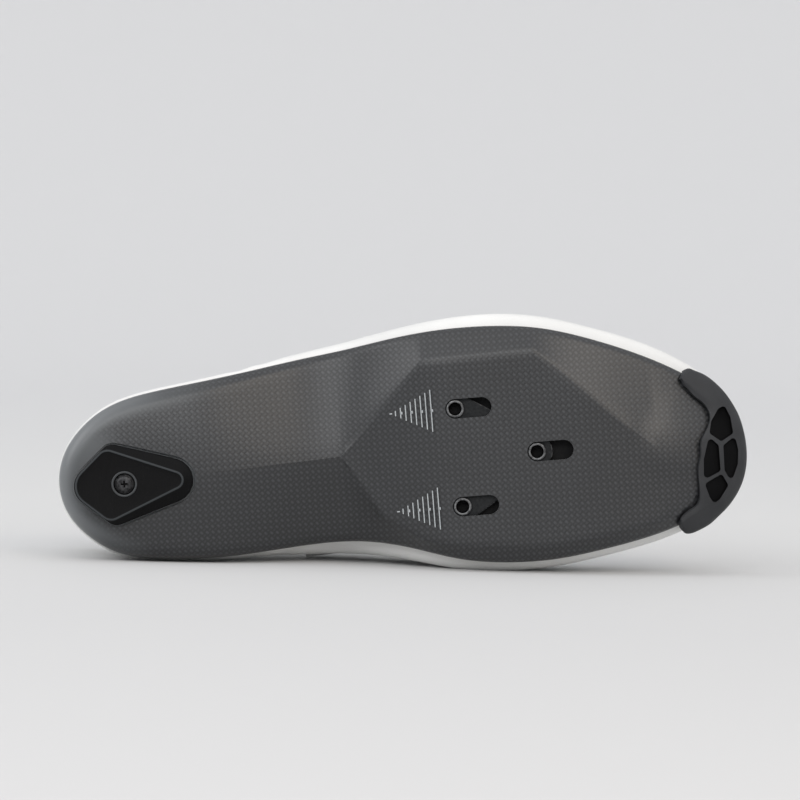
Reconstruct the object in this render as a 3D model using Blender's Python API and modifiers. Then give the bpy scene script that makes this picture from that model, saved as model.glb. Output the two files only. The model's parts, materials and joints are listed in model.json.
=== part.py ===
"""Right road cycling shoe with a carbon composite sole, lying on its inner side.

The shoe is modelled in the frame of its last: x from heel to toe, y to the inner side of the foot,
z up from the ground. An empty then lays it on its inner side, on the three points it rests on.
Lengths are metres.
"""
from math import atan2, cos, hypot, pi, radians, sin

import bmesh
import bpy
import numpy as np
from mathutils import Matrix, Vector

# Driving sizes
LENGTH = 0.2830
BALL_WIDTH = 0.0970
INSTEP_HEIGHT = 0.0860
GAP = 0.0003

# Sole
SOLE_THICKNESS = 0.0040
RIM_WALL = 0.0025
RIM_BEVEL = 0.0007
HEEL_LIFT = 0.0040
WAIST_LIFT = 0.0134
TOE_SPRING = 0.0195
SIDE_RISE = 0.0085
RIM_RADIUS = 0.0065
CUP_WALL = 0.0090

# Upper, tongue, straps and insole
UPPER_WALL = 0.0020
COLLAR_PAD = 0.0028
TONGUE_THICKNESS = 0.0032
STRAP_THICKNESS = 0.0018
INSOLE_THICKNESS = 0.0030
INSOLE_LIFT = 1.6 * GAP
FORM_GAP = 1.4 * GAP
BRIM_GAP = 1.5 * GAP
BITE_GAP = 2 * GAP
TONGUE_WIDTH = 0.0440
TONGUE_WIDTH_STATION = 0.56
TONGUE_TAPER = 0.11
TONGUE_TOE_END = 0.016
TONGUE_TOP_END = 0.098

# Cleat fastening: three slots, and a plate with three threaded bushings that slides behind them
BOLT_SPACING = 0.0402
BOLT_REACH = 0.0322
SLOT_WIDTH = 0.0080
SLOT_TRAVEL = 0.0110
BUSHING_BORE = 0.0048
PLATE_THICKNESS = 0.0020
PLATE_MARGIN = 0.0065
BUSHING_FACE = 0.0006

# Heel pad and its screw
PAD_LENGTH = 0.0478
PAD_WIDTH = 0.0316
PAD_SEAT = 0.0020
PAD_CHAMFER = 0.0016
SCREW_HEAD = 0.0080
SCREW_SHANK = 0.0042
SCREW_RING = 0.0108
SCREW_SEAT = 0.0022
CROSS_LENGTH = 0.0046
CROSS_WIDTH = 0.0011
CROSS_DEPTH = 0.0013

# Cutters: how far they reach beyond what they cut
CUT_TOP = 0.0300
CUT_BOTTOM = -0.0100
CUT_OVERLAP = 0.0005

# Toe bumper
BUMPER_SEAT = 1.8 * GAP
BUMPER_WALL = 0.0026
BUMPER_EDGE = 0.0014
BUMPER_HEIGHT = 0.0012
BUMPER_POCKET = 0.0012
BUMPER_THINNEST = 0.75
BUMPER_LEAST_SHARE = 0.02
BUMPER_SWELL = (0.3, 0.8, 1.0)
BUMPER_LIP = 0.8

# Stations as shares of the length
HEEL_CENTRE = (0.1166, -0.0035)
TOE_CENTRE = (0.8980, 0.0106)
HEEL_FLAT_END = 0.190
WAIST = 0.396
SEAT_REAR = 0.586
SEAT_FRONT = 0.742
REAR_BOLTS = 0.5823
PAD_HEEL = 0.0258
PAD_SCREW = 0.0961

# Outline of the sole: shares of the length and of the ball width
OUTLINE_HEEL = (0.000, -0.016)
OUTLINE_TOE = (0.991, 0.058)
OUTLINE = [
    # station, outer side, inner side
    (0.0106, 0.146, 0.112),
    (0.0353, 0.242, 0.205),
    (0.0777, 0.328, 0.289),
    (0.148, 0.381, 0.331),
    (0.219, 0.408, 0.343),
    (0.290, 0.437, 0.335),
    (0.360, 0.468, 0.322),
    (0.431, 0.496, 0.325),
    (0.502, 0.528, 0.366),
    (0.572, 0.547, 0.428),
    (0.643, 0.546, 0.459),
    (0.714, 0.521, 0.460),
    (0.784, 0.461, 0.434),
    (0.855, 0.378, 0.394),
    (0.908, 0.299, 0.346),
    (0.947, 0.221, 0.290),
    (0.975, 0.130, 0.220),
]

# Creases between the flat facets of the sole: shares of the length and of the ball width
OUTER_CREASE = [(0.411, -0.042), (0.537, -0.417), (0.701, -0.434), (0.872, 0.025), (1.0, 0.036)]
INNER_CREASE = [(0.411, -0.042), (0.468, 0.225), (0.537, 0.360), (0.722, 0.411), (0.86, 0.345), (1.0, 0.20)]
RIDGE = [(0.1166, -0.0035), (0.411, -0.042), (0.872, 0.025), (0.8980, 0.0106), (1.0, 0.036)]

# Where the creases run out: shares of the way from the middle line to the rim
CREASE_LIMIT = 0.9
CREASE_TOE_INNER = 0.86
CREASE_TIP = 0.5

# Sections of the sole: shares of SIDE_RISE, RIM_RADIUS and CUP_WALL
SECTIONS = [
    # station, outer rise, inner rise, bowl power, rim radius, wall
    (0.00, 0.22, 0.22, 2.5, 1.00, 1.00),
    (0.12, 0.24, 0.24, 2.5, 1.00, 0.95),
    (0.20, 0.36, 0.42, 1.8, 0.94, 0.86),
    (0.30, 0.62, 0.80, 1.2, 0.74, 0.66),
    (0.41, 0.84, 1.00, 1.0, 0.62, 0.50),
    (0.48, 0.74, 0.72, 1.0, 0.60, 0.44),
    (0.54, 0.58, 0.46, 1.0, 0.60, 0.40),
    (0.62, 0.52, 0.32, 1.0, 0.60, 0.38),
    (0.71, 0.52, 0.30, 1.0, 0.60, 0.38),
    (0.79, 0.74, 0.32, 1.0, 0.60, 0.40),
    (0.87, 0.92, 0.38, 1.0, 0.60, 0.42),
    (1.00, 0.50, 0.50, 1.0, 0.60, 0.44),
]

# Stations of the ribs of the sole and upper between the two ends, as shares of the length
STATIONS = [0.1166, 0.152, 0.188, 0.226, 0.262, 0.300, 0.338, 0.375, 0.411, 0.440, 0.468, 0.502, 0.537,
            0.586, 0.628, 0.671, 0.714, 0.742, 0.772, 0.804, 0.838, 0.872, 0.898]
END_STEPS = 5

# Upper: the opening's edge and how full the wall stands below it
UPPER = [
    # station, edge x, edge outer y, edge inner y, edge z, bulge outer, bulge inner, lean, rise, reach
    (0.000, 0.026, 0.000, 0.000, 0.820, -0.004, -0.004, 80, 0.35, 0.30),
    (0.058, 0.040, 0.150, 0.140, 0.808, -0.004, -0.004, 80, 0.35, 0.30),
    (0.117, 0.096, 0.250, 0.232, 0.755, -0.004, -0.004, 79, 0.35, 0.30),
    (0.219, 0.190, 0.292, 0.262, 0.680, 0.000, 0.000, 78, 0.36, 0.30),
    (0.325, 0.290, 0.272, 0.246, 0.775, 0.018, 0.030, 70, 0.42, 0.34),
    (0.411, 0.366, 0.212, 0.196, 0.975, 0.026, 0.052, 52, 0.50, 0.40),
    (0.530, 0.445, 0.150, 0.150, 0.930, 0.036, 0.046, 42, 0.60, 0.42),
    (0.650, 0.516, 0.118, 0.118, 0.850, 0.048, 0.032, 38, 0.62, 0.42),
    (0.777, 0.569, 0.102, 0.102, 0.775, 0.044, 0.026, 30, 0.62, 0.45),
    (0.890, 0.604, 0.080, 0.080, 0.722, 0.046, 0.026, 22, 0.60, 0.50),
    (0.945, 0.622, 0.046, 0.046, 0.698, 0.030, 0.022, 14, 0.58, 0.52),
    (1.000, 0.629, 0.000, 0.000, 0.690, 0.010, 0.010, 10, 0.55, 0.55),
]
BULGE_LIFT = [(0.0, 0.0095), (0.30, 0.0105), (0.50, 0.0085), (1.0, 0.0075)]
UPPER_STEPS = 8
BRIDGE_STEPS = 3
BRIDGE_HANDLE = 0.33
LIP_INSET = 0.0005
SWELL_HANDLES = (0.25, 0.45)
EDGE_ROUND = 1 / 3

# Padding of the collar: the stations where it fades out, and the shares of the wall's height
COLLAR_FADE = (0.34, 0.46)
COLLAR_GROWTH = (0.35, 0.80)

# Straps: places along the throat from its front end, and widths
STRAPS = [
    # name, place, width, lowest outer z, lowest inner z
    ("toe_strap", 0.0090, 0.0180, 0.0380, 0.0500),
    ("middle_strap", 0.0330, 0.0180, 0.0490, 0.0570),
    ("instep_strap", 0.0620, 0.0260, 0.0660, 0.0630),
]
STRAP_END_OUTER = -0.060
STRAP_END_INNER = 0.052
STRAP_END_TILT = (0.35, 0.94)

# Corners of the heel pad's kite: shares of the pad's length, half width and width
PAD_CORNERS = [
    # along, across, radius
    (-0.080, 0.00, 0.19),
    (0.305, -1.09, 0.16),
    (1.460, 0.00, 0.29),
    (0.305, 1.09, 0.16),
]

# Border of the heel pad from the sole down: how far it draws in, and height
PAD_BORDER = [
    # draws in, height
    (0.0, 0.0016),
    (0.0004, 0.0008),
    (PAD_CHAMFER, 0.0),
]

# Crown of the screw's head: shares of its radius, and height
SCREW_CROWN = [
    # radius, height
    (1.00, 0.0012),
    (0.86, 0.0006),
    (0.50, 0.0003),
    (0.00, 0.0003),
]

# Toe bumper from its outer wing to its inner wing: shares of the ball width
BUMPER = [
    # place round the toe, cover over the sole, stand proud of its edge
    (0.9085, 0.010, 0.010),
    (0.9105, 0.034, 0.026),
    (0.915, 0.050, 0.036),
    (0.923, 0.062, 0.043),
    (0.935, 0.065, 0.045),
    (0.950, 0.073, 0.041),
    (0.960, 0.091, 0.038),
    (0.970, 0.122, 0.038),
    (0.980, 0.149, 0.037),
    (1.000, 0.172, 0.038),
    (1.030, 0.182, 0.038),
    (1.045, 0.182, 0.040),
    (1.060, 0.159, 0.048),
    (1.070, 0.115, 0.053),
    (1.078, 0.066, 0.059),
    (1.090, 0.047, 0.059),
    (1.099, 0.040, 0.053),
    (1.1035, 0.026, 0.036),
    (1.1060, 0.008, 0.014),
]
BUMPER_PLACES = [0.9085, 0.9105, 0.915, 0.923, 0.931, 0.940, 0.950, 0.960, 0.970, 0.980, 1.000, 1.0204, 1.032,
                 1.044, 1.054, 1.062, 1.070, 1.078, 1.086, 1.0935, 1.099, 1.1035, 1.1060]

# Cells of the bumper's ribbed pocket: corners as shares of the length and of the ball width
POCKET_CELLS = [
    [(0.9500, -0.020), (0.9540, -0.068), (0.9660, -0.118), (0.9745, -0.128), (0.9815, -0.080),
     (0.9835, -0.012), (0.9655, 0.016)],
    [(0.9480, 0.000), (0.9600, 0.036), (0.9600, 0.142), (0.9360, 0.172), (0.9380, 0.090)],
    [(0.9860, 0.006), (0.9690, 0.038), (0.9680, 0.142), (0.9760, 0.190), (0.9870, 0.120), (0.9890, 0.060)],
    [(0.9370, 0.194), (0.9620, 0.160), (0.9700, 0.208), (0.9560, 0.262), (0.9480, 0.276), (0.9430, 0.250)],
]

DENSITY = {"carbon": 1500.0, "plastic": 1150.0, "steel": 7800.0, "textile": 600.0}


def collection(name, shown=True):
    made = bpy.data.collections.new(name)
    bpy.context.scene.collection.children.link(made)
    made.hide_render = not shown
    return made


for old in list(bpy.data.objects):
    bpy.data.objects.remove(old, do_unlink=True)
SHOE = collection("cycling_shoe")
CUTTERS = collection("cutters", shown=False)


def material(name, colour, roughness, metallic=0.0):
    made = bpy.data.materials.new(name)
    made.use_nodes = True
    shader = made.node_tree.nodes["Principled BSDF"]
    shader.inputs["Base Color"].default_value = (*colour, 1.0)
    shader.inputs["Roughness"].default_value = roughness
    shader.inputs["Metallic"].default_value = metallic
    made.diffuse_color = (*colour, 1.0)
    return made


class Smooth:
    """A curve with even curvature through the rows of a table, closed when it has a period."""

    def __init__(self, knots, values, period=0.0):
        knots = np.asarray(knots, float)
        values = np.asarray(values, float)
        if values.ndim == 1:
            values = values[:, None]
        if period:
            knots = np.append(knots, knots[0] + period)
            values = np.vstack([values, values[:1]])
        count = len(knots)
        step = np.diff(knots)
        slope = np.diff(values, axis=0) / step[:, None]
        matrix = np.zeros((count, count))
        right = np.zeros_like(values)
        for i in range(1, count - 1):
            matrix[i, i - 1:i + 2] = step[i], 2 * (step[i - 1] + step[i]), step[i - 1]
            right[i] = 3 * (step[i] * slope[i - 1] + step[i - 1] * slope[i])
        if period:
            matrix[0, [0, 1, -2]] = 2 * (step[-1] + step[0]), step[-1], step[0]
            right[0] = 3 * (step[0] * slope[-1] + step[-1] * slope[0])
            matrix[-1, [0, -1]] = 1, -1
        else:
            matrix[0, :2] = 2, 1
            right[0] = 3 * slope[0]
            matrix[-1, -2:] = 1, 2
            right[-1] = 3 * slope[-1]
        self.knots, self.values, self.period = knots, values, period
        self.slopes = np.linalg.solve(matrix, right)

    def __call__(self, where):
        where = np.asarray(where, float)
        if self.period:
            where = self.knots[0] + np.mod(where - self.knots[0], self.period)
        i = np.clip(np.searchsorted(self.knots, where, side="right") - 1, 0, len(self.knots) - 2)
        step = self.knots[i + 1] - self.knots[i]
        t = ((where - self.knots[i]) / step)[..., None]
        step = step[..., None]
        return ((2 * t**3 - 3 * t**2 + 1) * self.values[i] + (t**3 - 2 * t**2 + t) * step * self.slopes[i]
                + (3 * t**2 - 2 * t**3) * self.values[i + 1] + (t**3 - t**2) * step * self.slopes[i + 1])


def plan(share_x, share_y):
    return np.array([share_x * LENGTH, share_y * BALL_WIDTH])


def line(nodes, x):
    """Height or width read from straight stretches between nodes given in shares."""
    xs = [node[0] * LENGTH for node in nodes]
    ys = [node[1] * BALL_WIDTH for node in nodes]
    return float(np.interp(x, xs, ys))


def outline_curve():
    outer = [plan(x, -y) for x, y, _ in OUTLINE]
    inner = [plan(x, y) for x, _, y in OUTLINE]
    points = np.array([plan(*OUTLINE_HEEL)] + outer + [plan(*OUTLINE_TOE)] + inner[::-1])
    chords = np.linalg.norm(np.roll(points, -1, axis=0) - points, axis=1)
    knots = np.concatenate([[0.0], np.cumsum(chords)[:-1]])
    return Smooth(knots, points, chords.sum()), knots[len(OUTLINE) + 1]


EDGE, TOE_KNOT = outline_curve()
HEEL_FOOT = plan(*HEEL_CENTRE)
TOE_FOOT = plan(*TOE_CENTRE)
HALF = {
    "outer": np.linspace(0.0, TOE_KNOT, 3001),
    "inner": np.linspace(EDGE.period, TOE_KNOT, 3001),
}
HALF_POINTS = {side: EDGE(knots) for side, knots in HALF.items()}


def ridge_height(x):
    """Height of the sole's middle line over the ground."""
    flat_end, waist = HEEL_FLAT_END * LENGTH, WAIST * LENGTH
    rear, front = SEAT_REAR * LENGTH, SEAT_FRONT * LENGTH
    if x <= flat_end:
        return HEEL_LIFT
    if x <= waist:
        turn = (x - flat_end) / (waist - flat_end)
        return HEEL_LIFT + (WAIST_LIFT - HEEL_LIFT) * (1 - cos(pi * turn)) / 2
    if x <= rear:
        turn = (x - waist) / (rear - waist)
        return WAIST_LIFT * (1 + cos(pi * turn)) / 2
    if x <= front:
        return 0.0
    return TOE_SPRING * ((x - front) / (LENGTH - front)) ** 2


SECTION_CURVE = Smooth([row[0] for row in SECTIONS], [row[1:] for row in SECTIONS])


class Rib:
    """One half section of the shoe at a station, from the middle line to the outline.

    Between the two centres a station is a place along x. Beyond them the ribs fan out, and the
    station runs on with the angle.
    """

    def __init__(self, station, side):
        self.station, self.side = station, side
        knots, points = HALF[side], HALF_POINTS[side]
        x = station * LENGTH
        if x < HEEL_FOOT[0]:
            self.foot = HEEL_FOOT
            turn = pi / 2 * x / HEEL_FOOT[0]
            away = points - HEEL_FOOT
            at = np.interp(turn, np.arctan2(abs(away[:, 1]), -away[:, 0]), knots) if x > 0 else 0.0
        elif x <= TOE_FOOT[0]:
            self.foot = np.array([x, line(RIDGE, x)])
            middle = slice(150, -150)
            at = np.interp(x, points[middle, 0], knots[middle])
        else:
            self.foot = TOE_FOOT
            turn = pi / 2 * (LENGTH - x) / (LENGTH - TOE_FOOT[0])
            away = points - TOE_FOOT
            at = np.interp(-turn, -np.arctan2(abs(away[:, 1]), away[:, 0]), knots)
            if x >= LENGTH - 1e-9:
                at = TOE_KNOT
        self.end = EDGE(at)
        run = EDGE(at + 1e-5) - EDGE(at - 1e-5)
        self.out = np.array([run[1], -run[0]]) / hypot(*run)
        outer, inner, power, radius, wall = SECTION_CURVE(station)
        self.rise = SIDE_RISE * (outer if side == "outer" else inner)
        self.power = max(power, 1.0)
        self.radius = RIM_RADIUS * radius
        self.wall = CUP_WALL * wall
        self.turn = atan2(self.power * self.rise, hypot(*(self.end - self.foot)) - self.radius)
        for _ in range(4):
            self.brink = self.end - self.out * self.radius * (1 - sin(self.turn))
            self.crease = self.crease_share()
            width = hypot(*(self.brink - self.foot)) * (1 - self.crease)
            self.turn = atan2(self.power * self.rise, width)

    def crease_share(self):
        nodes = OUTER_CREASE if self.side == "outer" else INNER_CREASE
        if self.station <= nodes[0][0]:
            return 0.0
        share = 0.5
        for _ in range(6):
            x = self.foot[0] + share * (self.brink[0] - self.foot[0])
            share = (line(nodes, x) - self.foot[1]) / (self.brink[1] - self.foot[1] + 1e-9)
        share = min(max(share, 0.0), CREASE_LIMIT)
        fan = (self.station - TOE_CENTRE[0]) / (1 - TOE_CENTRE[0])
        if fan > 0:
            last = 0.0 if self.side == "outer" else CREASE_TOE_INNER
            share = last + (CREASE_TIP - last) * fan
        return share

    def facet(self, share):
        """Point of the sole's underside, at a share of the way to the brink of its rim."""
        at = self.foot + share * (self.brink - self.foot)
        over = max(share - self.crease, 0.0) / (1 - self.crease)
        return np.array([*at, ridge_height(at[0]) + self.rise * over**self.power])

    def arc(self, angle):
        """Point of the rounded rim, by the slope of the surface there."""
        at = self.end - self.out * self.radius * (1 - sin(angle))
        return np.array([*at, self.facet(1.0)[2] + self.radius * (cos(self.turn) - cos(angle))])

    def rim(self, inset, over=0.0):
        """Point of the rim's top edge, inset from the outline."""
        top = self.arc(pi / 2)[2] + self.wall
        return np.array([*(self.end - self.out * inset), top + over])

    def footbed(self, share, over=0.0):
        """Point inside the sole, at a share of the way from the middle line to its rim wall."""
        at = self.foot + share * (self.end - self.out * RIM_WALL - self.foot)
        reach = hypot(*(self.brink - self.foot))
        low = self.facet(min(hypot(*(at - self.foot)) / reach, 1.0))[2]
        return np.array([*at, low + SOLE_THICKNESS + over])

    def footbed_edge(self, inset, over=0.0):
        """Point on the footbed, on its straight run between two shares, at an inset from the outline."""
        run = self.end - self.out * RIM_WALL - self.foot
        share = 1 - (inset - RIM_WALL) / (run @ self.out)
        i = min(int(np.searchsorted(BED_SHARES, share)) - 1, len(BED_SHARES) - 2)
        a, b = BED_SHARES[i], BED_SHARES[i + 1]
        low, high = self.footbed(a)[2], self.footbed(b)[2]
        return np.array([*(self.foot + share * run), low + (high - low) * (share - a) / (b - a) + over])


BED_SHARES = (0.0, 0.45, 0.8, 1.0)


def all_ribs():
    heel = [HEEL_CENTRE[0] * i / END_STEPS for i in range(END_STEPS)]
    toe = [TOE_CENTRE[0] + (1 - TOE_CENTRE[0]) * i / END_STEPS for i in range(1, END_STEPS + 1)]
    outer = [Rib(station, "outer") for station in heel + STATIONS + toe]
    inner = [Rib(station, "inner") for station in (heel + STATIONS + toe)[1:-1]]
    return outer, inner


OUTER_RIBS, INNER_RIBS = all_ribs()
RIBS = OUTER_RIBS + INNER_RIBS[::-1]


def new_object(name, mesh_data, finish, where=SHOE):
    made = bpy.data.objects.new(name, mesh_data)
    where.objects.link(made)
    if finish:
        mesh_data.materials.append(finish)
    return made


def grid_mesh(name, rows, closed_rows=False, closed_columns=False, caps=False):
    """Mesh through rows of points; ends that meet at a point or on a line are merged."""
    bm = bmesh.new()
    verts = [[bm.verts.new(point) for point in row] for row in rows]
    row_pairs = list(zip(range(len(rows)), [*range(1, len(rows)), 0]))
    if not closed_rows:
        row_pairs.pop()
    wide = len(rows[0])
    column_pairs = list(zip(range(wide), [*range(1, wide), 0]))
    if not closed_columns:
        column_pairs.pop()
    for a, b in row_pairs:
        for c, d in column_pairs:
            bm.faces.new((verts[a][c], verts[a][d], verts[b][d], verts[b][c]))
    if caps:
        bm.faces.new(verts[0])
        bm.faces.new(verts[-1][::-1])
    bmesh.ops.remove_doubles(bm, verts=bm.verts, dist=0.00001)
    bmesh.ops.dissolve_degenerate(bm, edges=bm.edges, dist=0.00001)
    quads = [face for face in bm.faces if len(face.verts) == 4]
    bmesh.ops.triangulate(bm, faces=quads, quad_method="SHORT_EDGE")
    bmesh.ops.recalc_face_normals(bm, faces=bm.faces)
    mesh = bpy.data.meshes.new(name)
    bm.to_mesh(mesh)
    bm.free()
    return mesh


def smooth_shade(obj, degrees=32):
    obj.data.shade_smooth()
    obj.data.set_sharp_from_angle(angle=radians(degrees))


def prism(name, outline, low, high):
    """Cutter or plate with an upright wall, from an outline in plan."""
    rows = [[(x, y, z) for x, y in outline] for z in (low, high)]
    return grid_mesh(name, rows, closed_columns=True, caps=True)


def cutter(name, mesh):
    made = new_object(name, mesh, None, CUTTERS)
    made.hide_render = True
    made.display_type = "WIRE"
    return made


def cut(obj, tool, operation="DIFFERENCE"):
    step = obj.modifiers.new(tool.name, "BOOLEAN")
    step.operation = operation
    step.solver = "EXACT"
    step.object = tool
    return step


def cylinder(name, x, y, radius, low, high, sides=20):
    bm = bmesh.new()
    bmesh.ops.create_cone(bm, cap_ends=True, segments=sides, radius1=radius, radius2=radius, depth=high - low,
                          matrix=Matrix.Translation((x, y, (low + high) / 2)))
    mesh = bpy.data.meshes.new(name)
    bm.to_mesh(mesh)
    bm.free()
    return mesh


def round_corners(corners, grow=0.0, steps=4):
    """Closed outline through corners given with their radius, grown by an even border."""
    outline = []
    points = [np.array(corner[:2], float) for corner in corners]
    for i, corner in enumerate(points):
        radius = corners[i][2]
        before = points[i - 1] - corner
        after = points[(i + 1) % len(points)] - corner
        before, after = before / hypot(*before), after / hypot(*after)
        half = np.arccos(np.clip(before @ after, -1, 1)) / 2
        centre = corner + (before + after) / hypot(*(before + after)) * radius / sin(half)
        start = corner + before * radius / np.tan(half) - centre
        stop = corner + after * radius / np.tan(half) - centre
        first = atan2(start[1], start[0])
        sweep = (atan2(stop[1], stop[0]) - first + pi) % (2 * pi) - pi
        for k in range(steps + 1):
            angle = first + sweep * k / steps
            outline.append(tuple(centre + (radius + grow) * np.array([cos(angle), sin(angle)])))
    return outline


def slot_outline(x, y, travel, radius, steps=8):
    """Outline of a slot that starts round a point and runs towards the toe."""
    half_turn = np.linspace(-pi / 2, pi / 2, steps + 1)
    front = [(x + travel + radius * cos(a), y + radius * sin(a)) for a in half_turn]
    rear = [(x - radius * cos(a), y - radius * sin(a)) for a in half_turn]
    return front + rear


def bolts():
    rear = REAR_BOLTS * LENGTH
    return [(rear, -BOLT_SPACING / 2), (rear, BOLT_SPACING / 2), (rear + BOLT_REACH, 0.0)]


def plate_outline(margin, travel=0.0):
    """Rounded triangle round the three bolts, drawn out towards the toe by its travel."""
    corners = [(bolts()[0][0], bolts()[0][1]), (bolts()[2][0] + travel, 0.0), (bolts()[1][0], bolts()[1][1])]
    if travel:
        corners = [corners[0], (bolts()[0][0] + travel, bolts()[0][1]), corners[1],
                   (bolts()[1][0] + travel, bolts()[1][1]), corners[2]]
    outline = []
    count = len(corners)
    for i, (x, y) in enumerate(corners):
        before = np.subtract(corners[i], corners[i - 1])
        after = np.subtract(corners[(i + 1) % count], corners[i])
        first = atan2(-before[0], before[1])
        sweep = (atan2(-after[0], after[1]) - first) % (2 * pi)
        steps = max(1, round(sweep / (pi / 9)))
        for k in range(steps + 1):
            angle = first + sweep * k / steps
            outline.append((x + margin * cos(angle), y + margin * sin(angle)))
    return outline


def pad_outline(grow):
    """Kite with round corners, symmetric about the shoe's middle line."""
    start, half = PAD_HEEL * LENGTH, PAD_WIDTH / 2
    corners = [(start + PAD_LENGTH * x, half * y, PAD_WIDTH * radius) for x, y, radius in PAD_CORNERS]
    return round_corners(corners, grow)


FACET_SHARES = (0.0, 0.5, 1.0)
SIDE_SHARES = (0.33, 0.67, 1.0)
ARC_SHARES = (0.33, 0.67, 1.0)


def skin(rib):
    """Underside of the sole along a rib, from the middle line up to the top of its rim wall."""
    points = [rib.facet(rib.crease * share) for share in FACET_SHARES]
    points += [rib.facet(rib.crease + (1 - rib.crease) * share) for share in SIDE_SHARES]
    points += [rib.arc(rib.turn + (pi / 2 - rib.turn) * share) for share in ARC_SHARES]
    return points


def make_outsole(finish):
    rows = []
    for rib in RIBS:
        bed = [rib.footbed(share) for share in BED_SHARES]
        row = skin(rib) + [rib.rim(0.0, -RIM_BEVEL), rib.rim(RIM_BEVEL), rib.rim(RIM_WALL)] + bed[::-1]
        rows.append(row)
    sole = new_object("outsole", grid_mesh("outsole", rows, closed_rows=True), finish)
    pocket = plate_outline(PLATE_MARGIN + GAP, SLOT_TRAVEL)
    floor = SOLE_THICKNESS - PLATE_THICKNESS - GAP
    cut(sole, cutter("plate_pocket", prism("plate_pocket", pocket, floor, CUT_TOP)))
    for number, (x, y) in enumerate(bolts(), 1):
        slot = slot_outline(x, y, SLOT_TRAVEL, SLOT_WIDTH / 2)
        cut(sole, cutter(f"slot_{number}", prism(f"slot_{number}", slot, CUT_BOTTOM, floor + CUT_OVERLAP)))
    seat = prism("pad_seat", pad_outline(2 * GAP), CUT_BOTTOM, HEEL_LIFT + PAD_SEAT)
    cut(sole, cutter("pad_seat", seat))
    hole = cylinder("screw_hole", PAD_SCREW * LENGTH, 0.0, SCREW_SHANK / 2 + GAP, 0.0, CUT_TOP)
    cut(sole, cutter("screw_hole", hole))
    smooth_shade(sole, 24)
    return sole


def make_heel_pad(finish):
    """Pad with a chamfered border, standing proud of the sole, with a counterbore for the screw."""
    top = HEEL_LIFT + PAD_SEAT - GAP
    rows = [[(x, y, z) for x, y in pad_outline(-inset)] for inset, z in [(0.0, top), *PAD_BORDER]]
    pad = new_object("heel_pad", grid_mesh("heel_pad", rows, closed_columns=True, caps=True), finish)
    x = PAD_SCREW * LENGTH
    cut(pad, cutter("pad_bore", cylinder("pad_bore", x, 0.0, SCREW_SHANK / 2 + GAP, CUT_BOTTOM, CUT_TOP)))
    cut(pad, cutter("pad_ring", cylinder("pad_ring", x, 0.0, SCREW_RING / 2, CUT_BOTTOM, SCREW_SEAT, 32)))
    smooth_shade(pad, 30)
    return pad


def make_heel_screw(finish):
    """Pan head with a cross recess on a plain shank."""
    x = PAD_SCREW * LENGTH
    seat = SCREW_SEAT - GAP
    end = HEEL_LIFT + SOLE_THICKNESS
    half = SCREW_HEAD / 2
    profile = [(0.0, end), (SCREW_SHANK / 2, end), (SCREW_SHANK / 2, seat), (half, seat)]
    profile += [(half * share, z) for share, z in SCREW_CROWN]
    turns = 20
    rows = []
    for i in range(turns):
        angle = 2 * pi * i / turns
        rows.append([(x + r * cos(angle), r * sin(angle), z) for r, z in profile])
    screw = new_object("heel_screw", grid_mesh("heel_screw", rows, closed_rows=True), finish)
    arm, half_width = CROSS_LENGTH / 2, CROSS_WIDTH / 2
    for name, a, b in (("cross_long", arm, half_width), ("cross_wide", half_width, arm)):
        bar = [(x - a, -b), (x + a, -b), (x + a, b), (x - a, b)]
        cut(screw, cutter(name, prism(name, bar, CUT_BOTTOM, CROSS_DEPTH)))
    smooth_shade(screw, 30)
    return screw


def make_nut_plate(finish):
    """Triangular plate with a threaded bushing at each corner, reaching down into the slots."""
    low = SOLE_THICKNESS - PLATE_THICKNESS
    outline = plate_outline(PLATE_MARGIN)
    plate = new_object("cleat_nut_plate", prism("cleat_nut_plate", outline, low, SOLE_THICKNESS), finish)
    plate.location = (bolts()[0][0], 0.0, low)
    plate.data.transform(Matrix.Translation(-plate.location))
    for number, (x, y) in enumerate(bolts(), 1):
        boss = cylinder(f"boss_{number}", x, y, SLOT_WIDTH / 2 - GAP, BUSHING_FACE, low + CUT_OVERLAP)
        cut(plate, cutter(f"boss_{number}", boss), "UNION")
        bore = cylinder(f"bore_{number}", x, y, BUSHING_BORE / 2, CUT_BOTTOM, CUT_TOP)
        cut(plate, cutter(f"bore_{number}", bore))
    smooth_shade(plate, 30)
    return plate


def make_insole(finish):
    """Foam footbed inside the upper's wall, dished like the sole."""
    inset = RIM_WALL + GAP + UPPER_WALL + GAP
    rows = []
    for rib in RIBS:
        low = [rib.footbed(share, INSOLE_LIFT) for share in BED_SHARES[:-1]]
        low.append(rib.footbed_edge(inset, INSOLE_LIFT))
        high = [point + (0.0, 0.0, INSOLE_THICKNESS) for point in low]
        rows.append(low + high[::-1])
    insole = new_object("insole", grid_mesh("insole", rows, closed_rows=True), finish)
    smooth_shade(insole, 40)
    return insole


def upper_rows():
    outer = [(row[0], *row[1:3], row[4], row[5], *row[7:]) for row in UPPER]
    inner = [(2 - row[0], row[1], -row[3], row[4], row[6], *row[7:]) for row in UPPER[-2:0:-1]]
    outer = [(row[0], row[1], -row[2], *row[3:]) for row in outer]
    inner = [(row[0], row[1], -row[2], *row[3:]) for row in inner]
    rows = outer + inner
    return Smooth([row[0] for row in rows], [row[1:] for row in rows], 2.0)


UPPER_CURVE = upper_rows()
LIFT_CURVE = Smooth([row[0] for row in BULGE_LIFT], [row[1] for row in BULGE_LIFT])


def bezier(a, b, c, d, t):
    return (1 - t)**3 * a + 3 * (1 - t)**2 * t * b + 3 * (1 - t) * t**2 * c + t**3 * d


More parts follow.
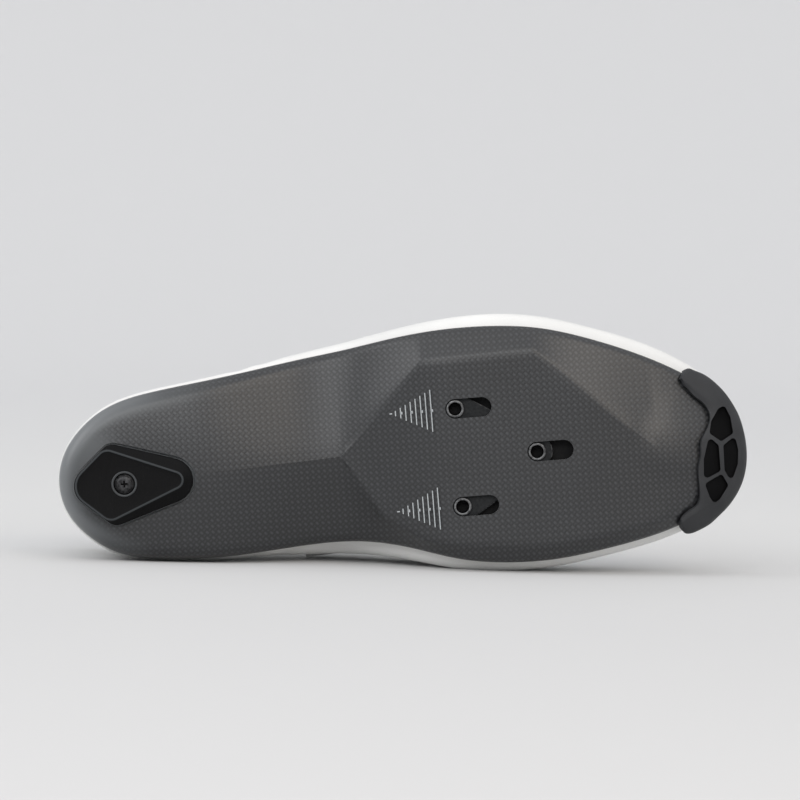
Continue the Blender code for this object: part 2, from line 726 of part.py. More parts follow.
def wall_line(rib):
    """Outer face of the upper along a rib, from inside the sole's rim to the edge of the opening."""
    place = rib.station if rib.side == "outer" else 2 - rib.station
    x, y, z, bulge, lean, rise, reach = UPPER_CURVE(place)
    edge = np.array([x * LENGTH, y * BALL_WIDTH, z * INSTEP_HEIGHT])
    out = np.array([*rib.out, 0.0])
    up = np.array([0.0, 0.0, 1.0])
    low = rib.rim(RIM_WALL + GAP)
    low[2] = rib.footbed(1.0, GAP)[2]
    brim = rib.rim(RIM_WALL + GAP, BRIM_GAP)
    lip = rib.rim(LIP_INSET, BITE_GAP)
    lift = float(LIFT_CURVE(rib.station)[0])
    wide = rib.rim(-bulge * BALL_WIDTH, lift)
    near, far = SWELL_HANDLES
    swell = bezier(lip, lip + (out + up) * near * lift, wide - up * far * lift, wide, 0.5)
    tall = edge[2] - wide[2]
    across = wide - edge
    across[2] = 0.0
    across /= max(np.linalg.norm(across), 1e-6)
    slope = radians(lean)
    handle = across * cos(slope) - up * sin(slope)
    chord = np.linalg.norm(edge - wide)
    side = [bezier(wide, wide + up * rise * tall, edge + handle * reach * chord, edge, t)
            for t in np.linspace(0.0, 1.0, UPPER_STEPS + 1)]
    return [low, brim, lip, swell, *side]


def grid_normals(grid, closed_rows):
    """Unit normals of a grid of points, by differences."""
    grid = np.asarray(grid)
    if closed_rows:
        around = np.roll(grid, -1, axis=0) - np.roll(grid, 1, axis=0)
    else:
        around = np.gradient(grid, axis=0)
    along = np.gradient(grid, axis=1)
    normals = np.cross(around, along)
    return normals / np.maximum(np.linalg.norm(normals, axis=2, keepdims=True), 1e-12)


def padding(rib):
    """Thickness of the wall from the bite line to the opening: the collar is padded."""
    steps = np.linspace(0.0, 1.0, UPPER_STEPS + 1)
    collar = 1 - np.interp(rib.station, COLLAR_FADE, (0.0, 1.0))
    swell = COLLAR_PAD * collar * np.interp(steps, COLLAR_GROWTH, (0.0, 1.0)) ** 2
    return np.concatenate([np.full(4, UPPER_WALL), UPPER_WALL + swell])


WALL_GRID = np.array([wall_line(rib) for rib in RIBS])
WALL_NORMALS = grid_normals(WALL_GRID, True)
WALL_NORMALS[:, 0] = [[*rib.out, 0.0] for rib in RIBS]
WALL_NORMALS[:, 1] = WALL_NORMALS[:, 0]
WALL_THICKNESS = np.array([padding(rib) for rib in RIBS])


def make_upper(finish):
    """One wall of real thickness, open underneath and at the collar and throat."""
    inside = WALL_GRID - WALL_NORMALS * WALL_THICKNESS[:, :, None]
    rows = []
    for outer, inner in zip(WALL_GRID, inside):
        along = outer[-1] - outer[-2]
        along = along / np.linalg.norm(along)
        roll = (outer[-1] + inner[-1]) / 2 + along * np.linalg.norm(outer[-1] - inner[-1]) * EDGE_ROUND
        rows.append([*outer, roll, *inner[::-1]])
    upper = new_object("upper", grid_mesh("upper", rows, closed_rows=True, closed_columns=True), finish)
    smooth_shade(upper, 50)
    return upper


FORM_START = 8
FORM_LEVEL = 5
EXTENSION_STEPS = 4
EXTENSION_RISE = 0.0065
EXTENSION_SPREAD = 0.3
EXTENSION_LIFT = 0.0012


def form_grid(offset, inwards):
    """Upper's surface closed over the throat, drawn on past the instep, and offset by a gap."""
    rows, normals, thickness = [], [], []
    last = len(OUTER_RIBS) - 1
    for i in range(FORM_START + END_STEPS, last + 1):
        j = (len(RIBS) - i) % len(RIBS)
        a, b = WALL_GRID[i][-1], WALL_GRID[j][-1]
        span = np.linalg.norm(a - b)
        from_a, from_b = (WALL_GRID[k][-1] - WALL_GRID[k][-2] for k in (i, j))
        from_a /= np.linalg.norm(from_a)
        from_b /= np.linalg.norm(from_b)
        turns = np.linspace(0, 1, BRIDGE_STEPS + 1)[1:-1]
        reach = span * BRIDGE_HANDLE
        bridge = [bezier(a, a + from_a * reach, b + from_b * reach, b, t) for t in turns]
        lean = [(1 - t) * WALL_NORMALS[i][-1] + t * WALL_NORMALS[j][-1] for t in turns]
        rows.append([*WALL_GRID[i][FORM_LEVEL:], *bridge, *WALL_GRID[j][:FORM_LEVEL - 1:-1]])
        normals.append([*WALL_NORMALS[i][FORM_LEVEL:], *lean, *WALL_NORMALS[j][:FORM_LEVEL - 1:-1]])
        wall = list(WALL_THICKNESS[i][FORM_LEVEL:])
        thickness.append(wall + [wall[-1]] * len(bridge) + wall[::-1])
    grid, normals, thickness = np.array(rows), np.array(normals), np.array(thickness)
    step = grid[0] - grid[1]
    step[:, 1] *= EXTENSION_SPREAD
    step[:, 2] = np.abs(step[:, 2]) + EXTENSION_LIFT
    step *= EXTENSION_RISE / np.linalg.norm(step, axis=1, keepdims=True)
    grid = np.concatenate([[grid[0] + step * k for k in range(EXTENSION_STEPS, 0, -1)], grid])
    normals = np.concatenate([normals[:1]] * EXTENSION_STEPS + [normals])
    thickness = np.concatenate([thickness[:1]] * EXTENSION_STEPS + [thickness])
    normals /= np.linalg.norm(normals, axis=2, keepdims=True)
    if inwards:
        return grid - normals * (thickness[:, :, None] + offset)
    return grid + normals * offset


def band(name, grid, planes, thickness, finish):
    """Piece of the form's surface between planes, thickened away from its first face."""
    mesh = grid_mesh(name, [list(row) for row in grid])
    bm = bmesh.new()
    bm.from_mesh(mesh)
    for point, normal in planes:
        parts = [*bm.verts, *bm.edges, *bm.faces]
        bmesh.ops.bisect_plane(bm, geom=parts, dist=0.00002, plane_co=point, plane_no=normal,
                               clear_outer=True)
    bmesh.ops.remove_doubles(bm, verts=bm.verts, dist=0.0001)
    top = max(bm.faces, key=lambda face: face.calc_center_median().z)
    if top.normal.z < 0:
        bmesh.ops.reverse_faces(bm, faces=bm.faces)
    bm.to_mesh(mesh)
    bm.free()
    made = new_object(name, mesh, finish)
    shell = made.modifiers.new("thickness", "SOLIDIFY")
    shell.thickness = abs(thickness)
    shell.offset = 1.0 if thickness > 0 else -1.0
    shell.use_even_offset = False
    smooth_shade(made, 50)
    return made


def throat_line():
    """Front end of the throat and the direction along it, towards the instep."""
    front = WALL_GRID[len(OUTER_RIBS) - 1][-1]
    corner = WALL_GRID[FORM_START + END_STEPS][-1]
    run = np.array([corner[0] - front[0], 0.0, corner[2] - front[2]])
    return front, run / np.linalg.norm(run)


def make_tongue(finish):
    front, run = throat_line()
    half = TONGUE_WIDTH / 2
    middle = np.array([front[0], 0.0, front[2]])
    wide = TONGUE_WIDTH_STATION * LENGTH
    planes = [((wide, half, 0), (-TONGUE_TAPER, 1, 0)), ((wide, -half, 0), (-TONGUE_TAPER, -1, 0)),
              (middle - run * TONGUE_TOE_END, -run), (middle + run * TONGUE_TOP_END, run)]
    return band("tongue", form_grid(FORM_GAP, True), planes, -TONGUE_THICKNESS, finish)


def make_strap(row, finish):
    name, place, width, outer_low, inner_low = row
    front, run = throat_line()
    middle = np.array([front[0], 0.0, front[2]]) + run * place
    across, down = STRAP_END_TILT
    planes = [(middle - run * width / 2, -run), (middle + run * width / 2, run),
              ((0, STRAP_END_OUTER, outer_low), (0, -across, -down)),
              ((0, STRAP_END_INNER, inner_low), (0, across, -down))]
    return band(name, form_grid(FORM_GAP, False), planes, STRAP_THICKNESS, finish)


BUMPER_CURVE = Smooth([row[0] for row in BUMPER], [row[1:] for row in BUMPER])
RIB_PLACES = [rib.station if rib.side == "outer" else 2 - rib.station for rib in RIBS]


def rib_at(place):
    return Rib(place, "outer") if place <= 1 else Rib(2 - place, "inner")


def bumper_start(rib, cover):
    """Share of the way to the brink where the bumper's inner edge lies on a rib."""
    run = hypot(*(rib.end - rib.foot))
    return max((run - cover) / hypot(*(rib.brink - rib.foot)), BUMPER_LEAST_SHARE)


def bumper_points(rib, cover, depths):
    """Points over the sole's underside and rim along a rib, each at its own distance from them."""
    start = min(bumper_start(rib, cover), 1 - BUMPER_LEAST_SHARE)
    up = np.array([0.0, 0.0, 1.0])
    out = np.array([*rib.out, 0.0])
    fold = rib.crease if rib.crease > start + BUMPER_LEAST_SHARE else (1 + start) / 2
    shares = (start, fold, 1.0)
    angles = [rib.turn + (pi / 2 - rib.turn) * share for share in ARC_SHARES]
    points = [rib.facet(share) for share in shares] + [rib.arc(angle) for angle in angles]
    points.append(rib.rim(0.0, -BUMPER_HEIGHT))
    slopes = [rib.turn] * len(shares) + angles + [pi / 2]
    return [point + (out * sin(slope) - up * cos(slope)) * depth
            for point, slope, depth in zip(points, slopes, depths)]


def bumper_far(place):
    """Outer face of the bumper at a place round the toe."""
    cover, proud = BUMPER_CURVE(place) * BALL_WIDTH
    seat = BUMPER_SEAT
    thick = min(BUMPER_WALL, BUMPER_THINNEST * cover)
    sides = [seat + thick + (proud - seat - thick) * share for share in BUMPER_SWELL]
    return bumper_points(rib_at(place), cover, [seat + min(BUMPER_EDGE, thick), seat + thick, seat + thick,
                                                *sides, proud * BUMPER_LIP])


def bumper_near(place):
    """Inner face of the bumper, at an even gap from the flat facets between the sole's ribs."""
    cover = float(BUMPER_CURVE(place)[0]) * BALL_WIDTH
    after = int(np.searchsorted(RIB_PLACES, place))
    low, high = RIB_PLACES[after - 1], RIB_PLACES[after]
    share = (place - low) / (high - low)
    rows = [bumper_points(rib, cover, [BUMPER_SEAT] * 7) for rib in RIBS[after - 1:after + 1]]
    return [(1 - share) * a + share * b for a, b in zip(*rows)]


def pocket_roof(x, y):
    """Height of the pocket's roof inside the bumper, over a place on its underside."""
    away = np.array([x, y]) - TOE_FOOT
    station = 1 - atan2(abs(away[1]), away[0]) / (pi / 2) * (1 - TOE_CENTRE[0])
    rib = Rib(station, "outer" if away[1] < 0 else "inner")
    share = hypot(*away) / hypot(*(rib.brink - rib.foot))
    return rib.facet(min(share, 1.0))[2] - BUMPER_SEAT - BUMPER_WALL + BUMPER_POCKET


def make_bumper(finish):
    """Crescent round the toe, with a ribbed pocket in its underside."""
    rows = [bumper_near(place) + bumper_far(place)[::-1] for place in BUMPER_PLACES]
    mesh = grid_mesh("toe_bumper", rows, closed_columns=True, caps=True)
    bumper = new_object("toe_bumper", mesh, finish)
    for number, cell in enumerate(POCKET_CELLS, 1):
        outline = [plan(*corner) for corner in cell]
        rows = [[(x, y, 0.0) for x, y in outline], [(x, y, pocket_roof(x, y)) for x, y in outline]]
        mesh = grid_mesh(f"pocket_{number}", rows, closed_columns=True, caps=True)
        cut(bumper, cutter(f"pocket_{number}", mesh))
    smooth_shade(bumper, 32)
    return bumper


def evaluated(obj):
    """World points and triangles of an object with its modifiers."""
    shown = obj.evaluated_get(bpy.context.evaluated_depsgraph_get())
    mesh = shown.to_mesh()
    mesh.calc_loop_triangles()
    points = np.array([shown.matrix_world @ vert.co for vert in mesh.vertices])
    triangles = np.array([tri.vertices for tri in mesh.loop_triangles])
    shown.to_mesh_clear()
    return points, triangles


def rest_direction(weights):
    """Direction that points down when the shoe lies on its inner side, from the hull's facets."""
    clouds = []
    mass, moment = 0.0, np.zeros(3)
    for obj, density in weights:
        points, triangles = evaluated(obj)
        clouds.append(points)
        a, b, c = (points[triangles[:, k]] for k in range(3))
        volumes = np.einsum("ij,ij->i", a, np.cross(b, c)) / 6
        mass += density * volumes.sum()
        moment += density * (volumes[:, None] * (a + b + c) / 4).sum(axis=0)
    centre = moment / mass
    bm = bmesh.new()
    for point in np.concatenate(clouds):
        bm.verts.new(point)
    bmesh.ops.convex_hull(bm, input=bm.verts)
    bm.normal_update()
    facets = [(np.array(face.normal), np.array(face.calc_center_median())) for face in bm.faces
              if face.calc_area() > 1e-10]
    bm.free()
    down = np.array([0.0, 1.0, 0.0])
    for _ in range(40):
        reach = [((spot - centre) @ normal) / (down @ normal) if down @ normal > 1e-6 else 9.0
                 for normal, spot in facets]
        hit = facets[int(np.argmin(reach))][0]
        if hit @ down > 1 - 1e-12:
            break
        down = hit
    return down


def lay_down(pieces, weights):
    """Turn the whole shoe so that its rest direction points down and its toe points along x."""
    down = rest_direction(weights)
    up = Vector(-down)
    forward = Vector((1, 0, 0)) - up * up.x
    forward.normalize()
    side = up.cross(forward)
    turn = Matrix((forward, side, up)).to_4x4()
    clouds = np.concatenate([evaluated(obj)[0] for obj in pieces])
    turned = clouds @ np.array(turn.to_3x3()).T
    low, high = turned.min(axis=0), turned.max(axis=0)
    shift = Matrix.Translation((-(low[0] + high[0]) / 2, -(low[1] + high[1]) / 2, -low[2]))
    pose = bpy.data.objects.new("lying_pose", None)
    SHOE.objects.link(pose)
    pose.matrix_world = shift @ turn
    for obj in pieces:
        obj.parent = pose
    for obj in CUTTERS.objects:
        obj.parent = pose


def build():
    carbon = material("carbon_composite", (0.075, 0.075, 0.078), 0.38)
    pad_black = material("heel_pad_black", (0.02, 0.02, 0.021), 0.5)
    bumper_grey = material("bumper_grey", (0.045, 0.045, 0.047), 0.55)
    steel = material("black_steel", (0.09, 0.09, 0.09), 0.35, 1.0)
    alloy = material("nut_plate_alloy", (0.10, 0.10, 0.10), 0.4, 1.0)
    white = material("white_microfibre", (0.88, 0.88, 0.87), 0.5)
    lining = material("tongue_white", (0.82, 0.82, 0.81), 0.6)
    tape = material("strap_white", (0.86, 0.86, 0.85), 0.55)
    foam = material("insole_grey", (0.20, 0.20, 0.21), 0.8)
    weights = [(make_outsole(carbon), DENSITY["carbon"])]
    weights.append((make_heel_pad(pad_black), DENSITY["plastic"]))
    weights.append((make_heel_screw(steel), DENSITY["steel"]))
    weights.append((make_bumper(bumper_grey), DENSITY["plastic"]))
    weights.append((make_nut_plate(alloy), DENSITY["steel"]))
    weights.append((make_insole(foam), DENSITY["textile"] / 3))
    weights.append((make_upper(white), DENSITY["textile"]))
    weights.append((make_tongue(lining), DENSITY["textile"] / 2))
    weights += [(make_strap(row, tape), DENSITY["textile"]) for row in STRAPS]
    bpy.context.view_layer.update()
    lay_down([obj for obj, _ in weights], weights)
    bpy.context.view_layer.update()


build()
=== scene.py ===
"""Looks of a right road cycling shoe that lies on its inner side.

Shapes are worked out in the frame of the last: x from heel to toe, y to the inner side of the foot,
z up from the ground that it would stand on. One matrix then lays each finished piece on the floor.
"""

import json
from math import atan2, cos, hypot, pi, radians, sin

import bmesh
import bpy
import numpy as np
from mathutils import Matrix, Vector


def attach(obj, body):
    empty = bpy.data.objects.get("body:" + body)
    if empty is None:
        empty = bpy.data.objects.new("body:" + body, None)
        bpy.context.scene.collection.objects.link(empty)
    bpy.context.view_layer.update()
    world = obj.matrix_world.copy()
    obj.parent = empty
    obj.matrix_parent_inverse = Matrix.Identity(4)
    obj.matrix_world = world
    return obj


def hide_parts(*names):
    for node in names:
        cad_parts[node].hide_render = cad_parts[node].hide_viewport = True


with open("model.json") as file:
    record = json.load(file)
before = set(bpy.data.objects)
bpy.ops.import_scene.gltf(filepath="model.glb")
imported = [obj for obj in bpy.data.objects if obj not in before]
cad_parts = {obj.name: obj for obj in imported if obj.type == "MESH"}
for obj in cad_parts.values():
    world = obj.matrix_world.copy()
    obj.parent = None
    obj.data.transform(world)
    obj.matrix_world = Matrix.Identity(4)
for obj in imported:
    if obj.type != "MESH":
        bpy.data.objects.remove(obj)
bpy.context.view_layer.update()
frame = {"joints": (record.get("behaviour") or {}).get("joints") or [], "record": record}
SHOE_BODY = "shoe"
NUTS_BODY = "cleat_nuts"

# Driving sizes
LENGTH = 0.2830
BALL_WIDTH = 0.0970
INSTEP_HEIGHT = 0.0860
GAP = 0.0003

# Sole
SOLE_THICKNESS = 0.0040
RIM_WALL = 0.0025
RIM_BEVEL = 0.0007
HEEL_LIFT = 0.0040
WAIST_LIFT = 0.0134
TOE_SPRING = 0.0195
SIDE_RISE = 0.0085
RIM_RADIUS = 0.0065
CUP_WALL = 0.0090

# Upper, tongue, straps and insole
UPPER_WALL = 0.0020
COLLAR_PAD = 0.0028
TONGUE_THICKNESS = 0.0032
STRAP_THICKNESS = 0.0018
INSOLE_THICKNESS = 0.0030
INSOLE_LIFT = 1.6 * GAP
FORM_GAP = 1.4 * GAP
BRIM_GAP = 1.5 * GAP
BITE_GAP = 2 * GAP
TONGUE_WIDTH = 0.0440
TONGUE_WIDTH_STATION = 0.56
TONGUE_TAPER = 0.11
TONGUE_TOE_END = 0.016
TONGUE_TOP_END = 0.098

# Cleat fastening: three slots, and a plate with three threaded bushings that slides behind them
BOLT_SPACING = 0.0402
BOLT_REACH = 0.0322
SLOT_WIDTH = 0.0080
SLOT_TRAVEL = 0.0110
BUSHING_BORE = 0.0048
PLATE_THICKNESS = 0.0020
PLATE_MARGIN = 0.0065
BUSHING_FACE = 0.0006

# Heel pad and its screw
PAD_LENGTH = 0.0478
PAD_WIDTH = 0.0316
PAD_SEAT = 0.0020
SCREW_HEAD = 0.0080
SCREW_SHANK = 0.0042
SCREW_RING = 0.0108
SCREW_SEAT = 0.0022
CROSS_LENGTH = 0.0046
CROSS_WIDTH = 0.0011
CROSS_DEPTH = 0.0013

# Cutters: how far they reach beyond what they cut
CUT_TOP = 0.0300
CUT_BOTTOM = -0.0100
CUT_OVERLAP = 0.0005

# Toe bumper
BUMPER_SEAT = 1.8 * GAP
BUMPER_WALL = 0.0026
BUMPER_EDGE = 0.0014
BUMPER_HEIGHT = 0.0012
BUMPER_POCKET = 0.0012
BUMPER_THINNEST = 0.75
BUMPER_LEAST_SHARE = 0.02
BUMPER_SWELL = (0.3, 0.8, 1.0)
BUMPER_LIP = 0.8

# Stations as shares of the length
HEEL_CENTRE = (0.1166, -0.0035)
TOE_CENTRE = (0.8980, 0.0106)
HEEL_FLAT_END = 0.190
WAIST = 0.396
SEAT_REAR = 0.586
SEAT_FRONT = 0.742
REAR_BOLTS = 0.5823
PAD_HEEL = 0.0258
PAD_SCREW = 0.0961

# Outline of the sole: shares of the length and of the ball width
OUTLINE_HEEL = (0.000, -0.016)
OUTLINE_TOE = (0.991, 0.058)
OUTLINE = [
    # station, outer side, inner side
    (0.0106, 0.146, 0.112),
    (0.0353, 0.242, 0.205),
    (0.0777, 0.328, 0.289),
    (0.148, 0.381, 0.331),
    (0.219, 0.408, 0.343),
    (0.290, 0.437, 0.335),
    (0.360, 0.468, 0.322),
    (0.431, 0.496, 0.325),
    (0.502, 0.528, 0.366),
    (0.572, 0.547, 0.428),
    (0.643, 0.546, 0.459),
    (0.714, 0.521, 0.460),
    (0.784, 0.461, 0.434),
    (0.855, 0.378, 0.394),
    (0.908, 0.299, 0.346),
    (0.947, 0.221, 0.290),
    (0.975, 0.130, 0.220),
]

# Creases between the flat facets of the sole: shares of the length and of the ball width
OUTER_CREASE = [(0.411, -0.042), (0.537, -0.417), (0.701, -0.434), (0.872, 0.025), (1.0, 0.036)]
INNER_CREASE = [(0.411, -0.042), (0.468, 0.225), (0.537, 0.360), (0.722, 0.411), (0.86, 0.345), (1.0, 0.20)]
RIDGE = [(0.1166, -0.0035), (0.411, -0.042), (0.872, 0.025), (0.8980, 0.0106), (1.0, 0.036)]

# Where the creases run out: shares of the way from the middle line to the rim
CREASE_LIMIT = 0.9
CREASE_TOE_INNER = 0.86
CREASE_TIP = 0.5

# Sections of the sole: shares of SIDE_RISE, RIM_RADIUS and CUP_WALL
SECTIONS = [
    # station, outer rise, inner rise, bowl power, rim radius, wall
    (0.00, 0.22, 0.22, 2.5, 1.00, 1.00),
    (0.12, 0.24, 0.24, 2.5, 1.00, 0.95),
    (0.20, 0.36, 0.42, 1.8, 0.94, 0.86),
    (0.30, 0.62, 0.80, 1.2, 0.74, 0.66),
    (0.41, 0.84, 1.00, 1.0, 0.62, 0.50),
    (0.48, 0.74, 0.72, 1.0, 0.60, 0.44),
    (0.54, 0.58, 0.46, 1.0, 0.60, 0.40),
    (0.62, 0.52, 0.32, 1.0, 0.60, 0.38),
    (0.71, 0.52, 0.30, 1.0, 0.60, 0.38),
    (0.79, 0.74, 0.32, 1.0, 0.60, 0.40),
    (0.87, 0.92, 0.38, 1.0, 0.60, 0.42),
    (1.00, 0.50, 0.50, 1.0, 0.60, 0.44),
]

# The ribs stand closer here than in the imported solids, so that curves are smooth: steps in shares
FINE_STEP = 0.0042
END_STEPS = 26

# Upper: the opening's edge and how full the wall stands below it
UPPER = [
    # station, edge x, edge outer y, edge inner y, edge z, bulge outer, bulge inner, lean, rise, reach
    (0.000, 0.026, 0.000, 0.000, 0.820, -0.004, -0.004, 80, 0.35, 0.30),
    (0.058, 0.040, 0.150, 0.140, 0.808, -0.004, -0.004, 80, 0.35, 0.30),
    (0.117, 0.096, 0.250, 0.232, 0.755, -0.004, -0.004, 79, 0.35, 0.30),
    (0.219, 0.190, 0.292, 0.262, 0.680, 0.000, 0.000, 78, 0.36, 0.30),
    (0.325, 0.290, 0.272, 0.246, 0.775, 0.018, 0.030, 70, 0.42, 0.34),
    (0.411, 0.366, 0.212, 0.196, 0.975, 0.026, 0.052, 52, 0.50, 0.40),
    (0.530, 0.445, 0.150, 0.150, 0.930, 0.036, 0.046, 42, 0.60, 0.42),
    (0.650, 0.516, 0.118, 0.118, 0.850, 0.048, 0.032, 38, 0.62, 0.42),
    (0.777, 0.569, 0.102, 0.102, 0.775, 0.044, 0.026, 30, 0.62, 0.45),
    (0.890, 0.604, 0.080, 0.080, 0.722, 0.046, 0.026, 22, 0.60, 0.50),
    (0.945, 0.622, 0.046, 0.046, 0.698, 0.030, 0.022, 14, 0.58, 0.52),
    (1.000, 0.629, 0.000, 0.000, 0.690, 0.010, 0.010, 10, 0.55, 0.55),
]
BULGE_LIFT = [(0.0, 0.0095), (0.30, 0.0105), (0.50, 0.0085), (1.0, 0.0075)]
UPPER_STEPS = 32
BRIDGE_STEPS = 14
BRIDGE_HANDLE = 0.33
LIP_INSET = 0.0005
SWELL_HANDLES = (0.25, 0.45)

# Padding of the collar: the stations where it fades out, and the shares of the wall's height
COLLAR_FADE = (0.34, 0.46)
COLLAR_GROWTH = (0.35, 0.80)

# Straps: places along the throat from its front end, and widths
STRAPS = [
    # name, place, width, lowest outer z, lowest inner z
    ("toe_strap", 0.0090, 0.0180, 0.0380, 0.0500),
    ("middle_strap", 0.0330, 0.0180, 0.0490, 0.0570),
    ("instep_strap", 0.0620, 0.0260, 0.0660, 0.0630),
]
STRAP_END_OUTER = -0.060
STRAP_END_INNER = 0.052
STRAP_END_TILT = (0.35, 0.94)

# Kites of the heel pad's border and of its raised face: shares of the pad's length, half width and width
PAD_BORDER = [
    # along, across, radius
    (-0.110, 0.00, 0.26),
    (0.305, -1.09, 0.16),
    (1.460, 0.00, 0.29),
    (0.305, 1.09, 0.16),
]
PAD_FACE = [
    # along, across, radius
    (-0.085, 0.00, 0.25),
    (0.270, -0.95, 0.15),
    (1.040, 0.00, 0.11),
    (0.270, 0.95, 0.15),
]

# Levels of the heel pad under its seat: how far each kite grows, height, and whether it is painted paler as a
# highlight
PAD_LEVELS = [
    # kite, grows, height, painted highlight
    (PAD_BORDER, 0.0, 0.0026, 0),
    (PAD_BORDER, -0.0002, 0.0021, 0),
    (PAD_BORDER, -0.0008, 0.0016, 0),
    (PAD_FACE, 0.0005, 0.0005, 0),
    (PAD_FACE, 0.0002, 0.0001, 1),
    (PAD_FACE, 0.0, 0.0, 1),
    (PAD_FACE, -0.0003, 0.0, 1),
    (PAD_FACE, -0.0006, 0.0003, 0),
    (PAD_FACE, -0.0010, 0.0004, 0),
]

# The outsole's seat for the pad, upwards: how far it opens past the pad's own gap, and height over the heel
PAD_SEAT_LEVELS = [
    # opens, height
    (0.0016, -0.0016),
    (0.0007, -0.00005),
    (0.0003, 0.0004),
    (0.0, 0.0009),
    (0.0, PAD_SEAT),
]

# Toe bumper from its outer wing to its inner wing: shares of the ball width
BUMPER = [
    # place round the toe, cover over the sole, stand proud of its edge
    (0.9085, 0.010, 0.010),
    (0.9105, 0.034, 0.026),
    (0.915, 0.050, 0.036),
    (0.923, 0.062, 0.043),
    (0.935, 0.065, 0.045),
    (0.950, 0.073, 0.041),
    (0.960, 0.091, 0.038),
    (0.970, 0.122, 0.038),
    (0.980, 0.149, 0.037),
    (1.000, 0.172, 0.038),
    (1.030, 0.182, 0.038),
    (1.045, 0.182, 0.040),
    (1.060, 0.159, 0.048),
    (1.070, 0.115, 0.053),
    (1.078, 0.066, 0.059),
    (1.090, 0.047, 0.059),
    (1.099, 0.040, 0.053),
    (1.1035, 0.026, 0.036),
    (1.1060, 0.008, 0.014),
]

# Cells of the bumper's ribbed pocket: corners as shares of the length and of the ball width
POCKET_CELLS = [
    [(0.9500, -0.020), (0.9540, -0.068), (0.9660, -0.118), (0.9745, -0.128), (0.9815, -0.080),
     (0.9835, -0.012), (0.9655, 0.016)],
    [(0.9480, 0.000), (0.9600, 0.036), (0.9600, 0.142), (0.9360, 0.172), (0.9380, 0.090)],
    [(0.9860, 0.006), (0.9690, 0.038), (0.9680, 0.142), (0.9760, 0.190), (0.9870, 0.120), (0.9890, 0.060)],
    [(0.9370, 0.194), (0.9620, 0.160), (0.9700, 0.208), (0.9560, 0.262), (0.9480, 0.276), (0.9430, 0.250)],
]
SWELL_STEPS = 6

# Fineness of the outsole along a rib, and how the creases soften: passes, and stations where more begin
PLATEAU_STEPS = 14
FACET_STEPS = 12
RIM_STEPS = 9
CREASE_PASSES = 5
TOE_PASSES = 60
TOE_BLEND = (0.875, 0.915)
FOOT_INNER = 0.007
FOOT_OUTER = 0.020

# Real sizes of the finishes, in millimetres, and how much sooner the heel's painted light ends on the shaded
# inner side
TOW_WIDTH = 1.68
VENT_PITCH = 5.2
VENT_RADIUS = 0.55
INNER_PAINTED_LIGHT_FADE = 2.0
# Paler tint painted on the edge of the heel pad's raised face, as a highlight
EDGE_HIGHLIGHT_TINT = "3b3e40"

# Low relief of the upper: overlay, vents, and creases by station and depth
OVERLAY_STEP = 0.00045
VENT_STATIONS = (0.56, 0.80)
VENT_HEIGHTS = (0.0140, 0.0302)
FLEX_CREASES = [(0.690, 0.0007), (0.735, 0.0009), (0.775, 0.0005)]
SIDE_CREASES = [(0.250, 0.0007), (0.290, 0.0005), (0.560, 0.0005)]
COLLAR_SEAM = 0.0042
TONGUE_CHANNEL = 0.011

# Printed scale behind each rear slot
MARK_COUNT = 8
MARK_START = 0.1403
MARK_PITCH = 0.0021
MARK_WIDTH = 0.00042
MARK_LENGTHS = (0.0022, 0.0172)
PRINT_HEIGHT = -0.00002

# The photo's view: roll in degrees, aim on the last, distance and width in metres
PHOTO_ROLL = 4.5
PHOTO_MIDDLE = (0.1426, -0.0255, 0.0)
CAMERA_AWAY = 2.6
PHOTO_WIDTH = 800 / 2.44 / 1000
SKY = (0.40, 1.15)

# A point on the cleat seat's middle, in the frame of the last
SEAT_POINT = (0.1865, 0.009, 0.0)


def smoothstep(low, high, value):
    share = np.clip((value - low) / (high - low), 0.0, 1.0)
    return share * share * (3 - 2 * share)


class Smooth:
    """A curve with even curvature through the rows of a table, closed when it has a period."""

    def __init__(self, knots, values, period=0.0):
        knots = np.asarray(knots, float)
        values = np.asarray(values, float)
        if values.ndim == 1:
            values = values[:, None]
        if period:
            knots = np.append(knots, knots[0] + period)
            values = np.vstack([values, values[:1]])
        count = len(knots)
        step = np.diff(knots)
        slope = np.diff(values, axis=0) / step[:, None]
        matrix = np.zeros((count, count))
        right = np.zeros_like(values)
        for i in range(1, count - 1):
            matrix[i, i - 1:i + 2] = step[i], 2 * (step[i - 1] + step[i]), step[i - 1]
            right[i] = 3 * (step[i] * slope[i - 1] + step[i - 1] * slope[i])
        if period:
            matrix[0, [0, 1, -2]] = 2 * (step[-1] + step[0]), step[-1], step[0]
            right[0] = 3 * (step[0] * slope[-1] + step[-1] * slope[0])
            matrix[-1, [0, -1]] = 1, -1
        else:
            matrix[0, :2] = 2, 1
            right[0] = 3 * slope[0]
            matrix[-1, -2:] = 1, 2
            right[-1] = 3 * slope[-1]
        self.knots, self.values, self.period = knots, values, period
        self.slopes = np.linalg.solve(matrix, right)

    def __call__(self, where):
        where = np.asarray(where, float)
        if self.period:
            where = self.knots[0] + np.mod(where - self.knots[0], self.period)
        i = np.clip(np.searchsorted(self.knots, where, side="right") - 1, 0, len(self.knots) - 2)
        step = self.knots[i + 1] - self.knots[i]
        t = ((where - self.knots[i]) / step)[..., None]
        step = step[..., None]
        return ((2 * t**3 - 3 * t**2 + 1) * self.values[i] + (t**3 - 2 * t**2 + t) * step * self.slopes[i]
                + (3 * t**2 - 2 * t**3) * self.values[i + 1] + (t**3 - t**2) * step * self.slopes[i + 1])


def plan(share_x, share_y):
    return np.array([share_x * LENGTH, share_y * BALL_WIDTH])


def line(nodes, x):
    """Height or width read from straight stretches between nodes given in shares."""
    xs = [node[0] * LENGTH for node in nodes]
    ys = [node[1] * BALL_WIDTH for node in nodes]
    return float(np.interp(x, xs, ys))


